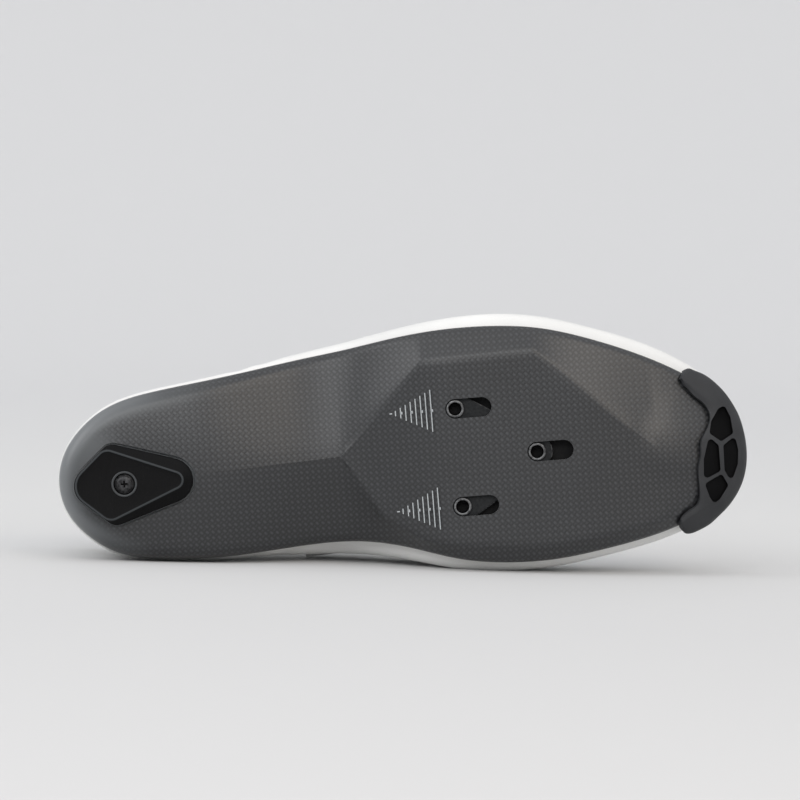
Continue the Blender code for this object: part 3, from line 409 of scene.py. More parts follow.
def outline_curve():
    outer = [plan(x, -y) for x, y, _ in OUTLINE]
    inner = [plan(x, y) for x, _, y in OUTLINE]
    points = np.array([plan(*OUTLINE_HEEL)] + outer + [plan(*OUTLINE_TOE)] + inner[::-1])
    chords = np.linalg.norm(np.roll(points, -1, axis=0) - points, axis=1)
    knots = np.concatenate([[0.0], np.cumsum(chords)[:-1]])
    return Smooth(knots, points, chords.sum()), knots[len(OUTLINE) + 1]


EDGE, TOE_KNOT = outline_curve()
HEEL_FOOT = plan(*HEEL_CENTRE)
TOE_FOOT = plan(*TOE_CENTRE)
HALF = {
    "outer": np.linspace(0.0, TOE_KNOT, 3001),
    "inner": np.linspace(EDGE.period, TOE_KNOT, 3001),
}
HALF_POINTS = {side: EDGE(knots) for side, knots in HALF.items()}


def ridge_height(x):
    """Height of the sole's middle line over the ground."""
    flat_end, waist = HEEL_FLAT_END * LENGTH, WAIST * LENGTH
    rear, front = SEAT_REAR * LENGTH, SEAT_FRONT * LENGTH
    if x <= flat_end:
        return HEEL_LIFT
    if x <= waist:
        turn = (x - flat_end) / (waist - flat_end)
        return HEEL_LIFT + (WAIST_LIFT - HEEL_LIFT) * (1 - cos(pi * turn)) / 2
    if x <= rear:
        turn = (x - waist) / (rear - waist)
        return WAIST_LIFT * (1 + cos(pi * turn)) / 2
    if x <= front:
        return 0.0
    return TOE_SPRING * ((x - front) / (LENGTH - front)) ** 2


SECTION_CURVE = Smooth([row[0] for row in SECTIONS], [row[1:] for row in SECTIONS])


def fan_knot(side, foot, way, share):
    """Knot where a fanned rib meets the outline. The way is -1 round the heel and 1 round the toe."""
    knots, points = HALF[side], HALF_POINTS[side]
    near = way * (points[:, 0] - foot[0]) > -0.01
    away = points[near] - foot
    angles = np.arctan2(away[:, 1], way * away[:, 0])
    tip = angles[0] if way < 0 else angles[-1]
    turn = tip + ((-pi / 2 if side == "outer" else pi / 2) - tip) * share
    order = np.argsort(angles)
    return np.interp(turn, angles[order], knots[near][order])


class Rib:
    """One half section of the shoe at a station, from the middle line to the outline.

    Between the two centres a station is a place along x. Beyond them the ribs fan out, and the
    station runs on with the angle.
    """

    def __init__(self, station, side):
        self.station, self.side = station, side
        knots, points = HALF[side], HALF_POINTS[side]
        x = station * LENGTH
        if x < HEEL_FOOT[0]:
            self.foot = HEEL_FOOT
            at = fan_knot(side, HEEL_FOOT, -1, x / HEEL_FOOT[0])
        elif x <= TOE_FOOT[0]:
            self.foot = np.array([x, line(RIDGE, x)])
            middle = slice(150, -150)
            at = np.interp(x, points[middle, 0], knots[middle])
        else:
            self.foot = TOE_FOOT
            at = fan_knot(side, TOE_FOOT, 1, (LENGTH - x) / (LENGTH - TOE_FOOT[0]))
        self.end = EDGE(at)
        run = EDGE(at + 1e-5) - EDGE(at - 1e-5)
        self.out = np.array([run[1], -run[0]]) / hypot(*run)
        outer, inner, power, radius, wall = SECTION_CURVE(station)
        self.rise = SIDE_RISE * (outer if side == "outer" else inner)
        self.power = max(power, 1.0)
        self.radius = RIM_RADIUS * radius
        self.wall = CUP_WALL * wall
        self.turn = atan2(self.power * self.rise, hypot(*(self.end - self.foot)) - self.radius)
        for _ in range(4):
            self.brink = self.end - self.out * self.radius * (1 - sin(self.turn))
            self.crease = self.crease_share()
            width = hypot(*(self.brink - self.foot)) * (1 - self.crease)
            self.turn = atan2(self.power * self.rise, width)

    def crease_share(self):
        nodes = OUTER_CREASE if self.side == "outer" else INNER_CREASE
        if self.station <= nodes[0][0]:
            return 0.0
        share = 0.5
        for _ in range(6):
            x = self.foot[0] + share * (self.brink[0] - self.foot[0])
            share = (line(nodes, x) - self.foot[1]) / (self.brink[1] - self.foot[1] + 1e-9)
        share = min(max(share, 0.0), CREASE_LIMIT)
        fan = (self.station - TOE_CENTRE[0]) / (1 - TOE_CENTRE[0])
        if fan > 0:
            last = 0.0 if self.side == "outer" else CREASE_TOE_INNER
            share = last + (CREASE_TIP - last) * fan
        return share

    def facet(self, share):
        """Point of the sole's underside, at a share of the way to the brink of its rim."""
        at = self.foot + share * (self.brink - self.foot)
        over = max(share - self.crease, 0.0) / (1 - self.crease)
        return np.array([*at, ridge_height(at[0]) + self.rise * over**self.power])

    def arc(self, angle):
        """Point of the rounded rim, by the slope of the surface there."""
        at = self.end - self.out * self.radius * (1 - sin(angle))
        return np.array([*at, self.facet(1.0)[2] + self.radius * (cos(self.turn) - cos(angle))])

    def rim(self, inset, over=0.0):
        """Point of the rim's top edge, inset from the outline."""
        top = self.arc(pi / 2)[2] + self.wall
        return np.array([*(self.end - self.out * inset), top + over])

    def footbed(self, share, over=0.0):
        """Point inside the sole, at a share of the way from the middle line to its rim wall."""
        at = self.foot + share * (self.end - self.out * RIM_WALL - self.foot)
        reach = hypot(*(self.brink - self.foot))
        low = self.facet(min(hypot(*(at - self.foot)) / reach, 1.0))[2]
        return np.array([*at, low + SOLE_THICKNESS + over])

    def footbed_edge(self, inset, over=0.0):
        """Point on the footbed, on its straight run between two shares, at an inset from the outline."""
        run = self.end - self.out * RIM_WALL - self.foot
        share = 1 - (inset - RIM_WALL) / (run @ self.out)
        i = min(int(np.searchsorted(BED_SHARES, share)) - 1, len(BED_SHARES) - 2)
        a, b = BED_SHARES[i], BED_SHARES[i + 1]
        low, high = self.footbed(a)[2], self.footbed(b)[2]
        return np.array([*(self.foot + share * run), low + (high - low) * (share - a) / (b - a) + over])


BED_SHARES = (0.0, 0.45, 0.8, 1.0)


def fine_stations():
    """Stations close enough for smooth curves, with the corners of the facets among them."""
    corners = {HEEL_CENTRE[0], TOE_CENTRE[0], HEEL_FLAT_END, SEAT_REAR, SEAT_FRONT}
    corners |= {row[0] for row in OUTER_CREASE + INNER_CREASE if row[0] < TOE_CENTRE[0]}
    corners = sorted(corners)
    stations = []
    for low, high in zip(corners, corners[1:]):
        steps = max(1, round((high - low) / FINE_STEP))
        stations += [low + (high - low) * k / steps for k in range(steps)]
    return stations + [TOE_CENTRE[0]]


STATIONS = fine_stations()


def all_ribs():
    heel = [HEEL_CENTRE[0] * i / END_STEPS for i in range(END_STEPS)]
    toe = [TOE_CENTRE[0] + (1 - TOE_CENTRE[0]) * i / END_STEPS for i in range(1, END_STEPS + 1)]
    outer = [Rib(station, "outer") for station in heel + STATIONS + toe]
    inner = [Rib(station, "inner") for station in (heel + STATIONS + toe)[1:-1]]
    return outer, inner


OUTER_RIBS, INNER_RIBS = all_ribs()
RIBS = OUTER_RIBS + INNER_RIBS[::-1]


def round_corners(corners, grow=0.0, steps=4):
    """Closed outline through corners given with their radius, grown by an even border."""
    outline = []
    points = [np.array(corner[:2], float) for corner in corners]
    for i, corner in enumerate(points):
        radius = corners[i][2]
        before = points[i - 1] - corner
        after = points[(i + 1) % len(points)] - corner
        before, after = before / hypot(*before), after / hypot(*after)
        half = np.arccos(np.clip(before @ after, -1, 1)) / 2
        centre = corner + (before + after) / hypot(*(before + after)) * radius / sin(half)
        start = corner + before * radius / np.tan(half) - centre
        stop = corner + after * radius / np.tan(half) - centre
        first = atan2(start[1], start[0])
        sweep = (atan2(stop[1], stop[0]) - first + pi) % (2 * pi) - pi
        for k in range(steps + 1):
            angle = first + sweep * k / steps
            outline.append(tuple(centre + (radius + grow) * np.array([cos(angle), sin(angle)])))
    return outline


def slot_outline(x, y, travel, radius, steps=8):
    """Outline of a slot that starts round a point and runs towards the toe."""
    half_turn = np.linspace(-pi / 2, pi / 2, steps + 1)
    front = [(x + travel + radius * cos(a), y + radius * sin(a)) for a in half_turn]
    rear = [(x - radius * cos(a), y - radius * sin(a)) for a in half_turn]
    return front + rear


def bolts():
    rear = REAR_BOLTS * LENGTH
    return [(rear, -BOLT_SPACING / 2), (rear, BOLT_SPACING / 2), (rear + BOLT_REACH, 0.0)]


def plate_outline(margin, travel=0.0):
    """Rounded triangle round the three bolts, drawn out towards the toe by its travel."""
    outer, inner, front = bolts()
    corners = [outer, (front[0] + travel, 0.0), inner]
    if travel:
        corners = [outer, (outer[0] + travel, outer[1]), corners[1], (inner[0] + travel, inner[1]), inner]
    outline = []
    count = len(corners)
    for i, (x, y) in enumerate(corners):
        before = np.subtract(corners[i], corners[i - 1])
        after = np.subtract(corners[(i + 1) % count], corners[i])
        first = atan2(-before[0], before[1])
        sweep = (atan2(-after[0], after[1]) - first) % (2 * pi)
        steps = max(1, round(sweep / (pi / 9)))
        for k in range(steps + 1):
            angle = first + sweep * k / steps
            outline.append((x + margin * cos(angle), y + margin * sin(angle)))
    return outline


def kite(shares, grow):
    """Closed outline of one of the heel pad's kites, grown by an even border."""
    start, half = PAD_HEEL * LENGTH, PAD_WIDTH / 2
    corners = [(start + PAD_LENGTH * x, half * y, PAD_WIDTH * radius) for x, y, radius in shares]
    return round_corners(corners, grow, 8)


def upper_rows():
    rows = [(row[0], row[1], -row[2], row[4], row[5], *row[7:]) for row in UPPER]
    rows += [(2 - row[0], row[1], row[3], row[4], row[6], *row[7:]) for row in UPPER[-2:0:-1]]
    return Smooth([row[0] for row in rows], [row[1:] for row in rows], 2.0)


UPPER_CURVE = upper_rows()
LIFT_CURVE = Smooth([row[0] for row in BULGE_LIFT], [row[1] for row in BULGE_LIFT])


def bezier(a, b, c, d, t):
    return (1 - t)**3 * a + 3 * (1 - t)**2 * t * b + 3 * (1 - t) * t**2 * c + t**3 * d


def wall_line(rib):
    """Outer face of the upper along a rib, from inside the sole's rim to the edge of the opening."""
    place = rib.station if rib.side == "outer" else 2 - rib.station
    x, y, z, bulge, lean, rise, reach = UPPER_CURVE(place)
    edge = np.array([x * LENGTH, y * BALL_WIDTH, z * INSTEP_HEIGHT])
    out = np.array([*rib.out, 0.0])
    up = np.array([0.0, 0.0, 1.0])
    low = rib.rim(RIM_WALL + GAP)
    low[2] = rib.footbed(1.0, GAP)[2]
    brim = rib.rim(RIM_WALL + GAP, BRIM_GAP)
    lip = rib.rim(LIP_INSET, BITE_GAP)
    lift = float(LIFT_CURVE(rib.station)[0])
    wide = rib.rim(-bulge * BALL_WIDTH, lift)
    near, far = SWELL_HANDLES
    swell = [bezier(lip, lip + (out + up) * near * lift, wide - up * far * lift, wide, t)
             for t in np.linspace(0.0, 1.0, SWELL_STEPS + 1)[1:-1]]
    tall = edge[2] - wide[2]
    across = wide - edge
    across[2] = 0.0
    across /= max(np.linalg.norm(across), 1e-6)
    slope = radians(lean)
    handle = across * cos(slope) - up * sin(slope)
    chord = np.linalg.norm(edge - wide)
    side = [bezier(wide, wide + up * rise * tall, edge + handle * reach * chord, edge, t)
            for t in np.linspace(0.0, 1.0, UPPER_STEPS + 1)]
    return [low, brim, lip, *swell, *side]


def grid_normals(grid, closed_rows):
    """Unit normals of a grid of points, by differences."""
    grid = np.asarray(grid)
    if closed_rows:
        around = np.roll(grid, -1, axis=0) - np.roll(grid, 1, axis=0)
    else:
        around = np.gradient(grid, axis=0)
    along = np.gradient(grid, axis=1)
    normals = np.cross(around, along)
    return normals / np.maximum(np.linalg.norm(normals, axis=2, keepdims=True), 1e-12)


def padding(rib):
    """Thickness of the wall from the bite line to the opening: the collar is padded."""
    steps = np.linspace(0.0, 1.0, UPPER_STEPS + 1)
    collar = 1 - np.interp(rib.station, COLLAR_FADE, (0.0, 1.0))
    swell = COLLAR_PAD * collar * np.interp(steps, COLLAR_GROWTH, (0.0, 1.0)) ** 2
    return np.concatenate([np.full(2 + SWELL_STEPS, UPPER_WALL), UPPER_WALL + swell])


WALL_GRID = np.array([wall_line(rib) for rib in RIBS])
WALL_NORMALS = grid_normals(WALL_GRID, True)
WALL_NORMALS[:, 0] = [[*rib.out, 0.0] for rib in RIBS]
WALL_NORMALS[:, 1] = WALL_NORMALS[:, 0]
WALL_THICKNESS = np.array([padding(rib) for rib in RIBS])


FORM_START = STATIONS.index(INNER_CREASE[0][0])
FORM_LEVEL = 2 + SWELL_STEPS + UPPER_STEPS // 8
EXTENSION_STEPS = 4
EXTENSION_RISE = 0.0065
EXTENSION_SPREAD = 0.3
EXTENSION_SPAN = round(0.029 / FINE_STEP)
EXTENSION_LIFT = 0.0012


def form_grid(offset, inwards):
    """Upper's surface closed over the throat, drawn on past the instep, and offset by a gap."""
    rows, normals, thickness = [], [], []
    last = len(OUTER_RIBS) - 1
    for i in range(FORM_START + END_STEPS, last + 1):
        j = (len(RIBS) - i) % len(RIBS)
        a, b = WALL_GRID[i][-1], WALL_GRID[j][-1]
        span = np.linalg.norm(a - b)
        from_a, from_b = (WALL_GRID[k][-1] - WALL_GRID[k][-2] for k in (i, j))
        from_a /= np.linalg.norm(from_a)
        from_b /= np.linalg.norm(from_b)
        turns = np.linspace(0, 1, BRIDGE_STEPS + 1)[1:-1]
        reach = span * BRIDGE_HANDLE
        bridge = [bezier(a, a + from_a * reach, b + from_b * reach, b, t) for t in turns]
        lean = [(1 - t) * WALL_NORMALS[i][-1] + t * WALL_NORMALS[j][-1] for t in turns]
        rows.append([*WALL_GRID[i][FORM_LEVEL:], *bridge, *WALL_GRID[j][:FORM_LEVEL - 1:-1]])
        normals.append([*WALL_NORMALS[i][FORM_LEVEL:], *lean, *WALL_NORMALS[j][:FORM_LEVEL - 1:-1]])
        wall = list(WALL_THICKNESS[i][FORM_LEVEL:])
        thickness.append(wall + [wall[-1]] * len(bridge) + wall[::-1])
    grid, normals, thickness = np.array(rows), np.array(normals), np.array(thickness)
    step = grid[0] - grid[EXTENSION_SPAN]
    step[:, 1] *= EXTENSION_SPREAD
    step[:, 2] = np.abs(step[:, 2]) + EXTENSION_LIFT
    step *= EXTENSION_RISE / np.linalg.norm(step, axis=1, keepdims=True)
    grid = np.concatenate([[grid[0] + step * k for k in range(EXTENSION_STEPS, 0, -1)], grid])
    normals = np.concatenate([normals[:1]] * EXTENSION_STEPS + [normals])
    thickness = np.concatenate([thickness[:1]] * EXTENSION_STEPS + [thickness])
    normals /= np.linalg.norm(normals, axis=2, keepdims=True)
    if inwards:
        return grid - normals * (thickness[:, :, None] + offset)
    return grid + normals * offset


def throat_line():
    """Middle of the throat's front end and the direction along it, towards the instep."""
    front = WALL_GRID[len(OUTER_RIBS) - 1][-1] * (1.0, 0.0, 1.0)
    corner = WALL_GRID[FORM_START + END_STEPS][-1]
    run = np.array([corner[0] - front[0], 0.0, corner[2] - front[2]])
    return front, run / np.linalg.norm(run)


ARC_SHARES = (0.33, 0.67, 1.0)
BUMPER_CURVE = Smooth([row[0] for row in BUMPER], [row[1:] for row in BUMPER])
RIB_PLACES = [rib.station if rib.side == "outer" else 2 - rib.station for rib in RIBS]


def rib_at(place):
    return Rib(place, "outer") if place <= 1 else Rib(2 - place, "inner")


def bumper_start(rib, cover):
    """Share of the way to the brink where the bumper's inner edge lies on a rib."""
    run = hypot(*(rib.end - rib.foot))
    return max((run - cover) / hypot(*(rib.brink - rib.foot)), BUMPER_LEAST_SHARE)


def bumper_points(rib, cover, depths):
    """Points over the sole's underside and rim along a rib, each at its own distance from them."""
    start = min(bumper_start(rib, cover), 1 - BUMPER_LEAST_SHARE)
    up = np.array([0.0, 0.0, 1.0])
    out = np.array([*rib.out, 0.0])
    fold = (1 + start) / 2
    shares = (start, fold, 1.0)
    angles = [rib.turn + (pi / 2 - rib.turn) * share for share in ARC_SHARES]
    points = [rib.facet(share) for share in shares] + [rib.arc(angle) for angle in angles]
    points.append(rib.rim(0.0, -BUMPER_HEIGHT))
    slopes = [rib.turn] * len(shares) + angles + [pi / 2]
    return [point + (out * sin(slope) - up * cos(slope)) * depth
            for point, slope, depth in zip(points, slopes, depths)]


def bumper_far(place):
    """Outer face of the bumper at a place round the toe."""
    cover, proud = BUMPER_CURVE(place) * BALL_WIDTH
    seat = BUMPER_SEAT
    thick = min(BUMPER_WALL, BUMPER_THINNEST * cover)
    sides = [seat + thick + (proud - seat - thick) * share for share in BUMPER_SWELL]
    return bumper_points(rib_at(place), cover, [seat + min(BUMPER_EDGE, thick), seat + thick, seat + thick,
                                                *sides, proud * BUMPER_LIP])


def bumper_near(place):
    """Inner face of the bumper, at an even gap from the flat facets between the sole's ribs."""
    cover = float(BUMPER_CURVE(place)[0]) * BALL_WIDTH
    after = int(np.searchsorted(RIB_PLACES, place))
    low, high = RIB_PLACES[after - 1], RIB_PLACES[after]
    share = (place - low) / (high - low)
    rows = [bumper_points(rib, cover, [BUMPER_SEAT] * 7) for rib in RIBS[after - 1:after + 1]]
    return [(1 - share) * a + share * b for a, b in zip(*rows)]


def pocket_roof(x, y):
    """Height of the pocket's roof inside the bumper, over a place on its underside."""
    away = np.array([x, y]) - TOE_FOOT
    station = 1 - atan2(abs(away[1]), away[0]) / (pi / 2) * (1 - TOE_CENTRE[0])
    rib = Rib(station, "outer" if away[1] < 0 else "inner")
    share = hypot(*away) / hypot(*(rib.brink - rib.foot))
    return rib.facet(min(share, 1.0))[2] - BUMPER_SEAT - BUMPER_WALL + BUMPER_POCKET


def row_from_last():
    """Matrix from the last's frame to the floor's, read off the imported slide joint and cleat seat."""
    seat = frame["record"]["mounts"][0]
    up = -Vector(seat["axis"]).normalized()
    forward = Vector(frame["joints"][0]["axis"]).normalized()
    inner = up.cross(forward).normalized()
    turn = Matrix((inner.cross(up), inner, up)).transposed()
    origin = Vector(seat["pos_m"]) - turn @ Vector(SEAT_POINT)
    return Matrix.Translation(origin) @ turn.to_4x4()


LAY = row_from_last()


def srgb(code):
    """Linear colour from an sRGB hex value."""
    parts = [int(code[i:i + 2], 16) / 255 for i in (0, 2, 4)]
    return (*[c / 12.92 if c <= 0.04045 else ((c + 0.055) / 1.055) ** 2.4 for c in parts], 1.0)


def finish(name):
    """New material with its node tree and its shader."""
    made = bpy.data.materials.new(name)
    made.use_nodes = True
    return made, made.node_tree, made.node_tree.nodes["Principled BSDF"]


def fill(node, *values, stops=(), **settings):
    """Gives a node values in the order of its open inputs, and settings by name.

    A node given as a value stands for its first open output. Stops are those of a colour ramp.
    """
    named = {}
    for key, value in settings.items():
        if hasattr(node, key):
            setattr(node, key, value)
        else:
            named[key.replace("_", " ")] = value
    pairs = list(zip([socket for socket in node.inputs if socket.enabled], values))
    pairs += [(node.inputs[key], value) for key, value in named.items()]
    for socket, value in pairs:
        if isinstance(value, bpy.types.Node):
            value = next(output for output in value.outputs if output.enabled)
        if isinstance(value, bpy.types.NodeSocket):
            node.id_data.links.new(value, socket)
        else:
            socket.default_value = value
    if stops:
        elements = node.color_ramp.elements
        while len(elements) < len(stops):
            elements.new(0.5)
        for element, (place, code) in zip(elements, stops):
            element.position = place
            element.color = srgb(code)
    return node


def add(tree, kind, *values, **settings):
    """Adds a node with its values and settings."""
    return fill(tree.nodes.new("ShaderNode" + kind), *values, **settings)


def object_mm(tree):
    """Object coordinates in millimetres."""
    place = add(tree, "TexCoord").outputs["Object"]
    return add(tree, "VectorMath", place, (1000.0, 1000.0, 1000.0), operation="MULTIPLY")


def map_mm(tree):
    """The piece's own UV map, which holds the last's plan in units of 100 mm, in millimetres."""
    place = add(tree, "UVMap", uv_map="last_mm")
    return add(tree, "VectorMath", place, (100.0, 100.0, 100.0), operation="MULTIPLY")


def carbon_finish():
    """Plain weave of carbon tows at 45 degrees under a satin clear coat.

    Neighbouring tows catch the light in turn, so the eye sees small diamonds that flip from light to dark.
    This light and shade is painted into the colour, paler on the tows' crowns and on the tows that lie on
    top, and softened by the coat, whose gloss stays smooth over them.
    """
    made, tree, shader = finish("satin_carbon_weave")
    place = map_mm(tree)
    parts = add(tree, "SeparateXYZ", place).outputs
    tows, arches = [], []
    for operation in ("ADD", "SUBTRACT"):
        side = add(tree, "Math", parts[0], parts[1], operation=operation)
        side = add(tree, "Math", side, TOW_WIDTH * 2**0.5, operation="DIVIDE")
        turn = add(tree, "Math", add(tree, "Math", side, operation="FRACT"), pi, operation="MULTIPLY")
        tows.append(side)
        arches.append(add(tree, "Math", turn, operation="SINE"))
    weave = add(tree, "CombineXYZ", *tows, 0.5)
    over = add(tree, "TexChecker", Vector=weave, Scale=1.0).outputs["Fac"]
    crowns, lines = [], []
    for first, second in (arches, arches[::-1]):
        half = add(tree, "Math", second, 0.5, 0.5, operation="MULTIPLY_ADD")
        crowns.append(add(tree, "Math", first, half, operation="MULTIPLY"))
    for stretch in ((1.5, 9.0, 1.0), (9.0, 1.5, 1.0)):
        stretched = add(tree, "VectorMath", weave, stretch, operation="MULTIPLY")
        lines.append(add(tree, "TexNoise", Vector=stretched, Scale=1.0, Detail=2.0))
    height = add(tree, "Mix", over, *crowns)
    fibres = add(tree, "Mix", over, *lines)
    cloudy = add(tree, "TexNoise", Vector=place, Scale=0.02, Detail=2.0)
    # Painted light: the colour is paler on the tows' crowns and on the tows that lie on top, for the light
    # they catch.
    shade = add(tree, "Math", height, 0.55, -0.15, operation="MULTIPLY_ADD")
    for source, share in ((fibres, 0.25), (over, 0.16), (cloudy, 0.3)):
        shade = add(tree, "Math", source, share, shade, operation="MULTIPLY_ADD")
    colour = add(tree, "ValToRGB", shade, stops=((0.1, "0d0e0f"), (0.5, "1b1c1e"), (0.95, "3c3e41")))
    painted_cup_light, edge = painted_rim_light(tree)
    # Painted light: the heel's cup is painted paler where its wall turns up to the light, and its edge paler
    # still as a painted highlight.
    for share, code in ((painted_cup_light, "474a4c"), (edge, "727577")):
        colour = add(tree, "Mix", share, colour, srgb(code), data_type="RGBA")
    woven = add(tree, "Math", 1.0, painted_cup_light, operation="SUBTRACT")
    raised = add(tree, "Math", height, woven, operation="MULTIPLY")
    fill(shader, Base_Color=colour, Coat_Weight=0.4, Coat_Roughness=0.3, Specular_IOR_Level=0.5,
         Roughness=add(tree, "Math", fibres, 0.14, 0.36, operation="MULTIPLY_ADD"),
         Normal=add(tree, "Bump", Height=raised, Distance=0.00014, Strength=0.5))
    return made


def painted_rim_light(tree):
    """Shares of painted light on the heel's cup: a smooth paler grey that hides the weave, and a paler
    painted highlight at its edge.

    The map holds each point's distance from the edge, in centimetres, and its station.
    """
    distance, station, _ = add(tree, "SeparateXYZ", add(tree, "UVMap", uv_map="from_edge")).outputs
    fades = []
    for source, start, stop in ((station, 0.27, 0.10), (station, 0.17, 0.04), (distance, 1.05, 0.35),
                                (station, 0.10, 0.05), (distance, 0.75, 0.0)):
        fades.append(add(tree, "MapRange", source, start, stop, 0.0, 1.0, interpolation_type="SMOOTHSTEP"))
    heel, rear, border, cup, edge = fades
    wide = add(tree, "Math", border, cup, operation="MAXIMUM")
    return (add(tree, "Math", wide, heel, operation="MULTIPLY"),
            add(tree, "Math", edge, rear, operation="MULTIPLY"))


def moulded_finish(name, dark, light, grain, rough, ribs=0.0, edges=None, specular=0.3):
    """Moulded polyurethane: nearly black, with a fine spark-eroded grain that keeps its gloss low.

    With ribs, the face shows the fine upright lines of a grip texture. Edges names a map of the lines that
    are painted paler, as a painted highlight.
    """
    made, tree, shader = finish(name)
    place = object_mm(tree)
    fine = add(tree, "TexNoise", Vector=place, Scale=grain, Detail=3.0)
    broad = add(tree, "TexNoise", Vector=place, Scale=0.08, Detail=2.0)
    shade = add(tree, "Math", add(tree, "Math", fine, broad, operation="ADD"), 0.5, operation="MULTIPLY")
    height = fine
    if ribs:
        lines = add(tree, "TexWave", Vector=place, Scale=ribs, Distortion=2.0, Detail=2.0,
                    wave_type="BANDS", bands_direction="X").outputs["Fac"]
        height = add(tree, "Math", lines, 1.2, fine, operation="MULTIPLY_ADD")
        shade = add(tree, "Math", shade, 3.0, lines, operation="MULTIPLY_ADD")
        shade = add(tree, "Math", shade, 0.25, operation="MULTIPLY")
    colour = add(tree, "ValToRGB", shade, stops=((0.3, dark), (0.7, light)))
    if edges:
        # Painted highlight: the mapped lines are painted paler.
        highlit_beads = add(tree, "SeparateXYZ", add(tree, "UVMap", uv_map=edges))
        colour = add(tree, "Mix", highlit_beads, colour, srgb(EDGE_HIGHLIGHT_TINT), data_type="RGBA")
    fill(shader, Base_Color=colour, Specular_IOR_Level=specular,
         Roughness=add(tree, "Math", fine, 0.2, rough, operation="MULTIPLY_ADD"),
         Normal=add(tree, "Bump", Height=height, Distance=0.00005, Strength=0.6))
    return made


def oxide_finish(name, dark, light, rough):
    """Blackened steel: dark oxide that has rubbed thin, so a little bare metal glints through in patches."""
    made, tree, shader = finish(name)
    wear_and_highlight = add(tree, "TexNoise", Vector=object_mm(tree), Scale=0.9, Detail=5.0)
    fill(shader, Metallic=1.0, Base_Color=add(tree, "ValToRGB", wear_and_highlight, stops=((0.35, dark), (0.7, light))),
         Roughness=add(tree, "Math", wear_and_highlight, 0.25, rough, operation="MULTIPLY_ADD"),
         Normal=add(tree, "Bump", Height=wear_and_highlight, Distance=0.00003, Strength=0.5))
    return made


def microfibre_finish():
    """White microfibre leather: a pebbled grain about 0.6 mm wide under a thin matt film.

    The white is painted a little greyer where its fine texture lies low, as painted shade in the hollows, and
    rows of fine vent holes, painted dark grey as the shade inside them, cross the vamp.
    """
    made, tree, shader = finish("white_microfibre_leather")
    place = object_mm(tree)
    grain = add(tree, "TexVoronoi", Vector=place, Scale=1.6, feature="SMOOTH_F1")
    fine = add(tree, "TexNoise", Vector=place, Scale=3.0, Detail=4.0)
    soft = add(tree, "TexNoise", Vector=place, Scale=0.03, Detail=2.0)
    # Painted shade: the fine texture that raises the surface also lightens its colour, so its hollows are
    # painted greyer.
    shade = add(tree, "Math", soft, 0.6, operation="MULTIPLY")
    shade = add(tree, "Math", fine, 0.4, shade, operation="MULTIPLY_ADD")
    colour = add(tree, "ValToRGB", shade, stops=((0.25, "dcdcda"), (0.6, "e9e9e7")))
    holes, dimples = vent_holes(tree)
    # Painted shade: the vent holes are painted dark grey.
    colour = add(tree, "Mix", holes, colour, srgb("55575a"), data_type="RGBA")
    height = add(tree, "Math", fine, 0.3, operation="MULTIPLY")
    for source, share in ((grain, 0.7), (dimples, -3.0)):
        height = add(tree, "Math", source, share, height, operation="MULTIPLY_ADD")
    fill(shader, Base_Color=colour, Coat_Weight=0.12, Coat_Roughness=0.4,
         Roughness=add(tree, "Math", fine, 0.15, 0.42, operation="MULTIPLY_ADD"),
         Normal=add(tree, "Bump", Height=height, Distance=0.00007, Strength=0.55))
    return made


def vent_holes(tree):
    """Masks of the vent holes and of the dimples round them, from the upper's own maps.

    One map runs round the shoe in its first number and up the wall in its second, in millimetres, and
    the other tells where the holes are.
    """
    squares, masks = [], []
    for side in add(tree, "SeparateXYZ", map_mm(tree)).outputs[:2]:
        share = add(tree, "Math", add(tree, "Math", side, VENT_PITCH, operation="DIVIDE"), operation="FRACT")
        away = add(tree, "Math", share, VENT_PITCH, -VENT_PITCH / 2, operation="MULTIPLY_ADD")
        squares.append(add(tree, "Math", away, away, operation="MULTIPLY"))
    reach = add(tree, "Math", add(tree, "Math", *squares, operation="ADD"), operation="SQRT")
    field = add(tree, "SeparateXYZ", add(tree, "UVMap", uv_map="vents"))
    for radius in (VENT_RADIUS, VENT_RADIUS * 1.5):
        inside = add(tree, "Math", reach, radius, operation="LESS_THAN")
        masks.append(add(tree, "Math", inside, field, operation="MULTIPLY"))
    return masks


def cloth_finish(name, dark, light, pitch, sheen=0.2, rough=0.8):
    """Woven or knitted cloth: threads at their real pitch, with a faint fuzz at glancing angles."""
    made, tree, shader = finish(name)
    place = object_mm(tree)
    threads = 1.0
    for direction in ("X", "Y", "Z"):
        wave = add(tree, "TexWave", Vector=place, Scale=0.31 / pitch, Distortion=0.6,
                   wave_type="BANDS", bands_direction=direction).outputs["Fac"]
        threads = add(tree, "Math", threads, wave, operation="MULTIPLY")
    fuzz = add(tree, "TexNoise", Vector=place, Scale=1.2, Detail=4.0)
    shade = add(tree, "Math", fuzz, 0.5, operation="MULTIPLY")
    shade = add(tree, "Math", threads, 0.6, shade, operation="MULTIPLY_ADD")
    fill(shader, Base_Color=add(tree, "ValToRGB", shade, stops=((0.15, dark), (0.7, light))),
         Normal=add(tree, "Bump", Height=shade, Distance=0.00012, Strength=0.6),
         Roughness=rough, Sheen_Weight=sheen)
    return made


def plain_finish(name, code, rough):
    """Even matt thread with a barely visible unevenness."""
    made, tree, shader = finish(name)
    patch = add(tree, "TexNoise", Vector=object_mm(tree), Scale=0.5, Detail=3.0)
    fill(shader, Base_Color=srgb(code), Specular_IOR_Level=0.5,
         Roughness=add(tree, "Math", patch, 0.1, rough, operation="MULTIPLY_ADD"))
    return made


def settle(name, mesh, material, slot, *nodes):
    """Finished piece: laid down with the shoe, at the origin, riding on the shoe, in place of its nodes."""
    mesh.transform(LAY)
    made = scratch(name, mesh)
    if not mesh.materials:
        mesh.materials.append(material)
    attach(made, SHOE_BODY)
    if nodes:
        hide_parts(*nodes)
    return made


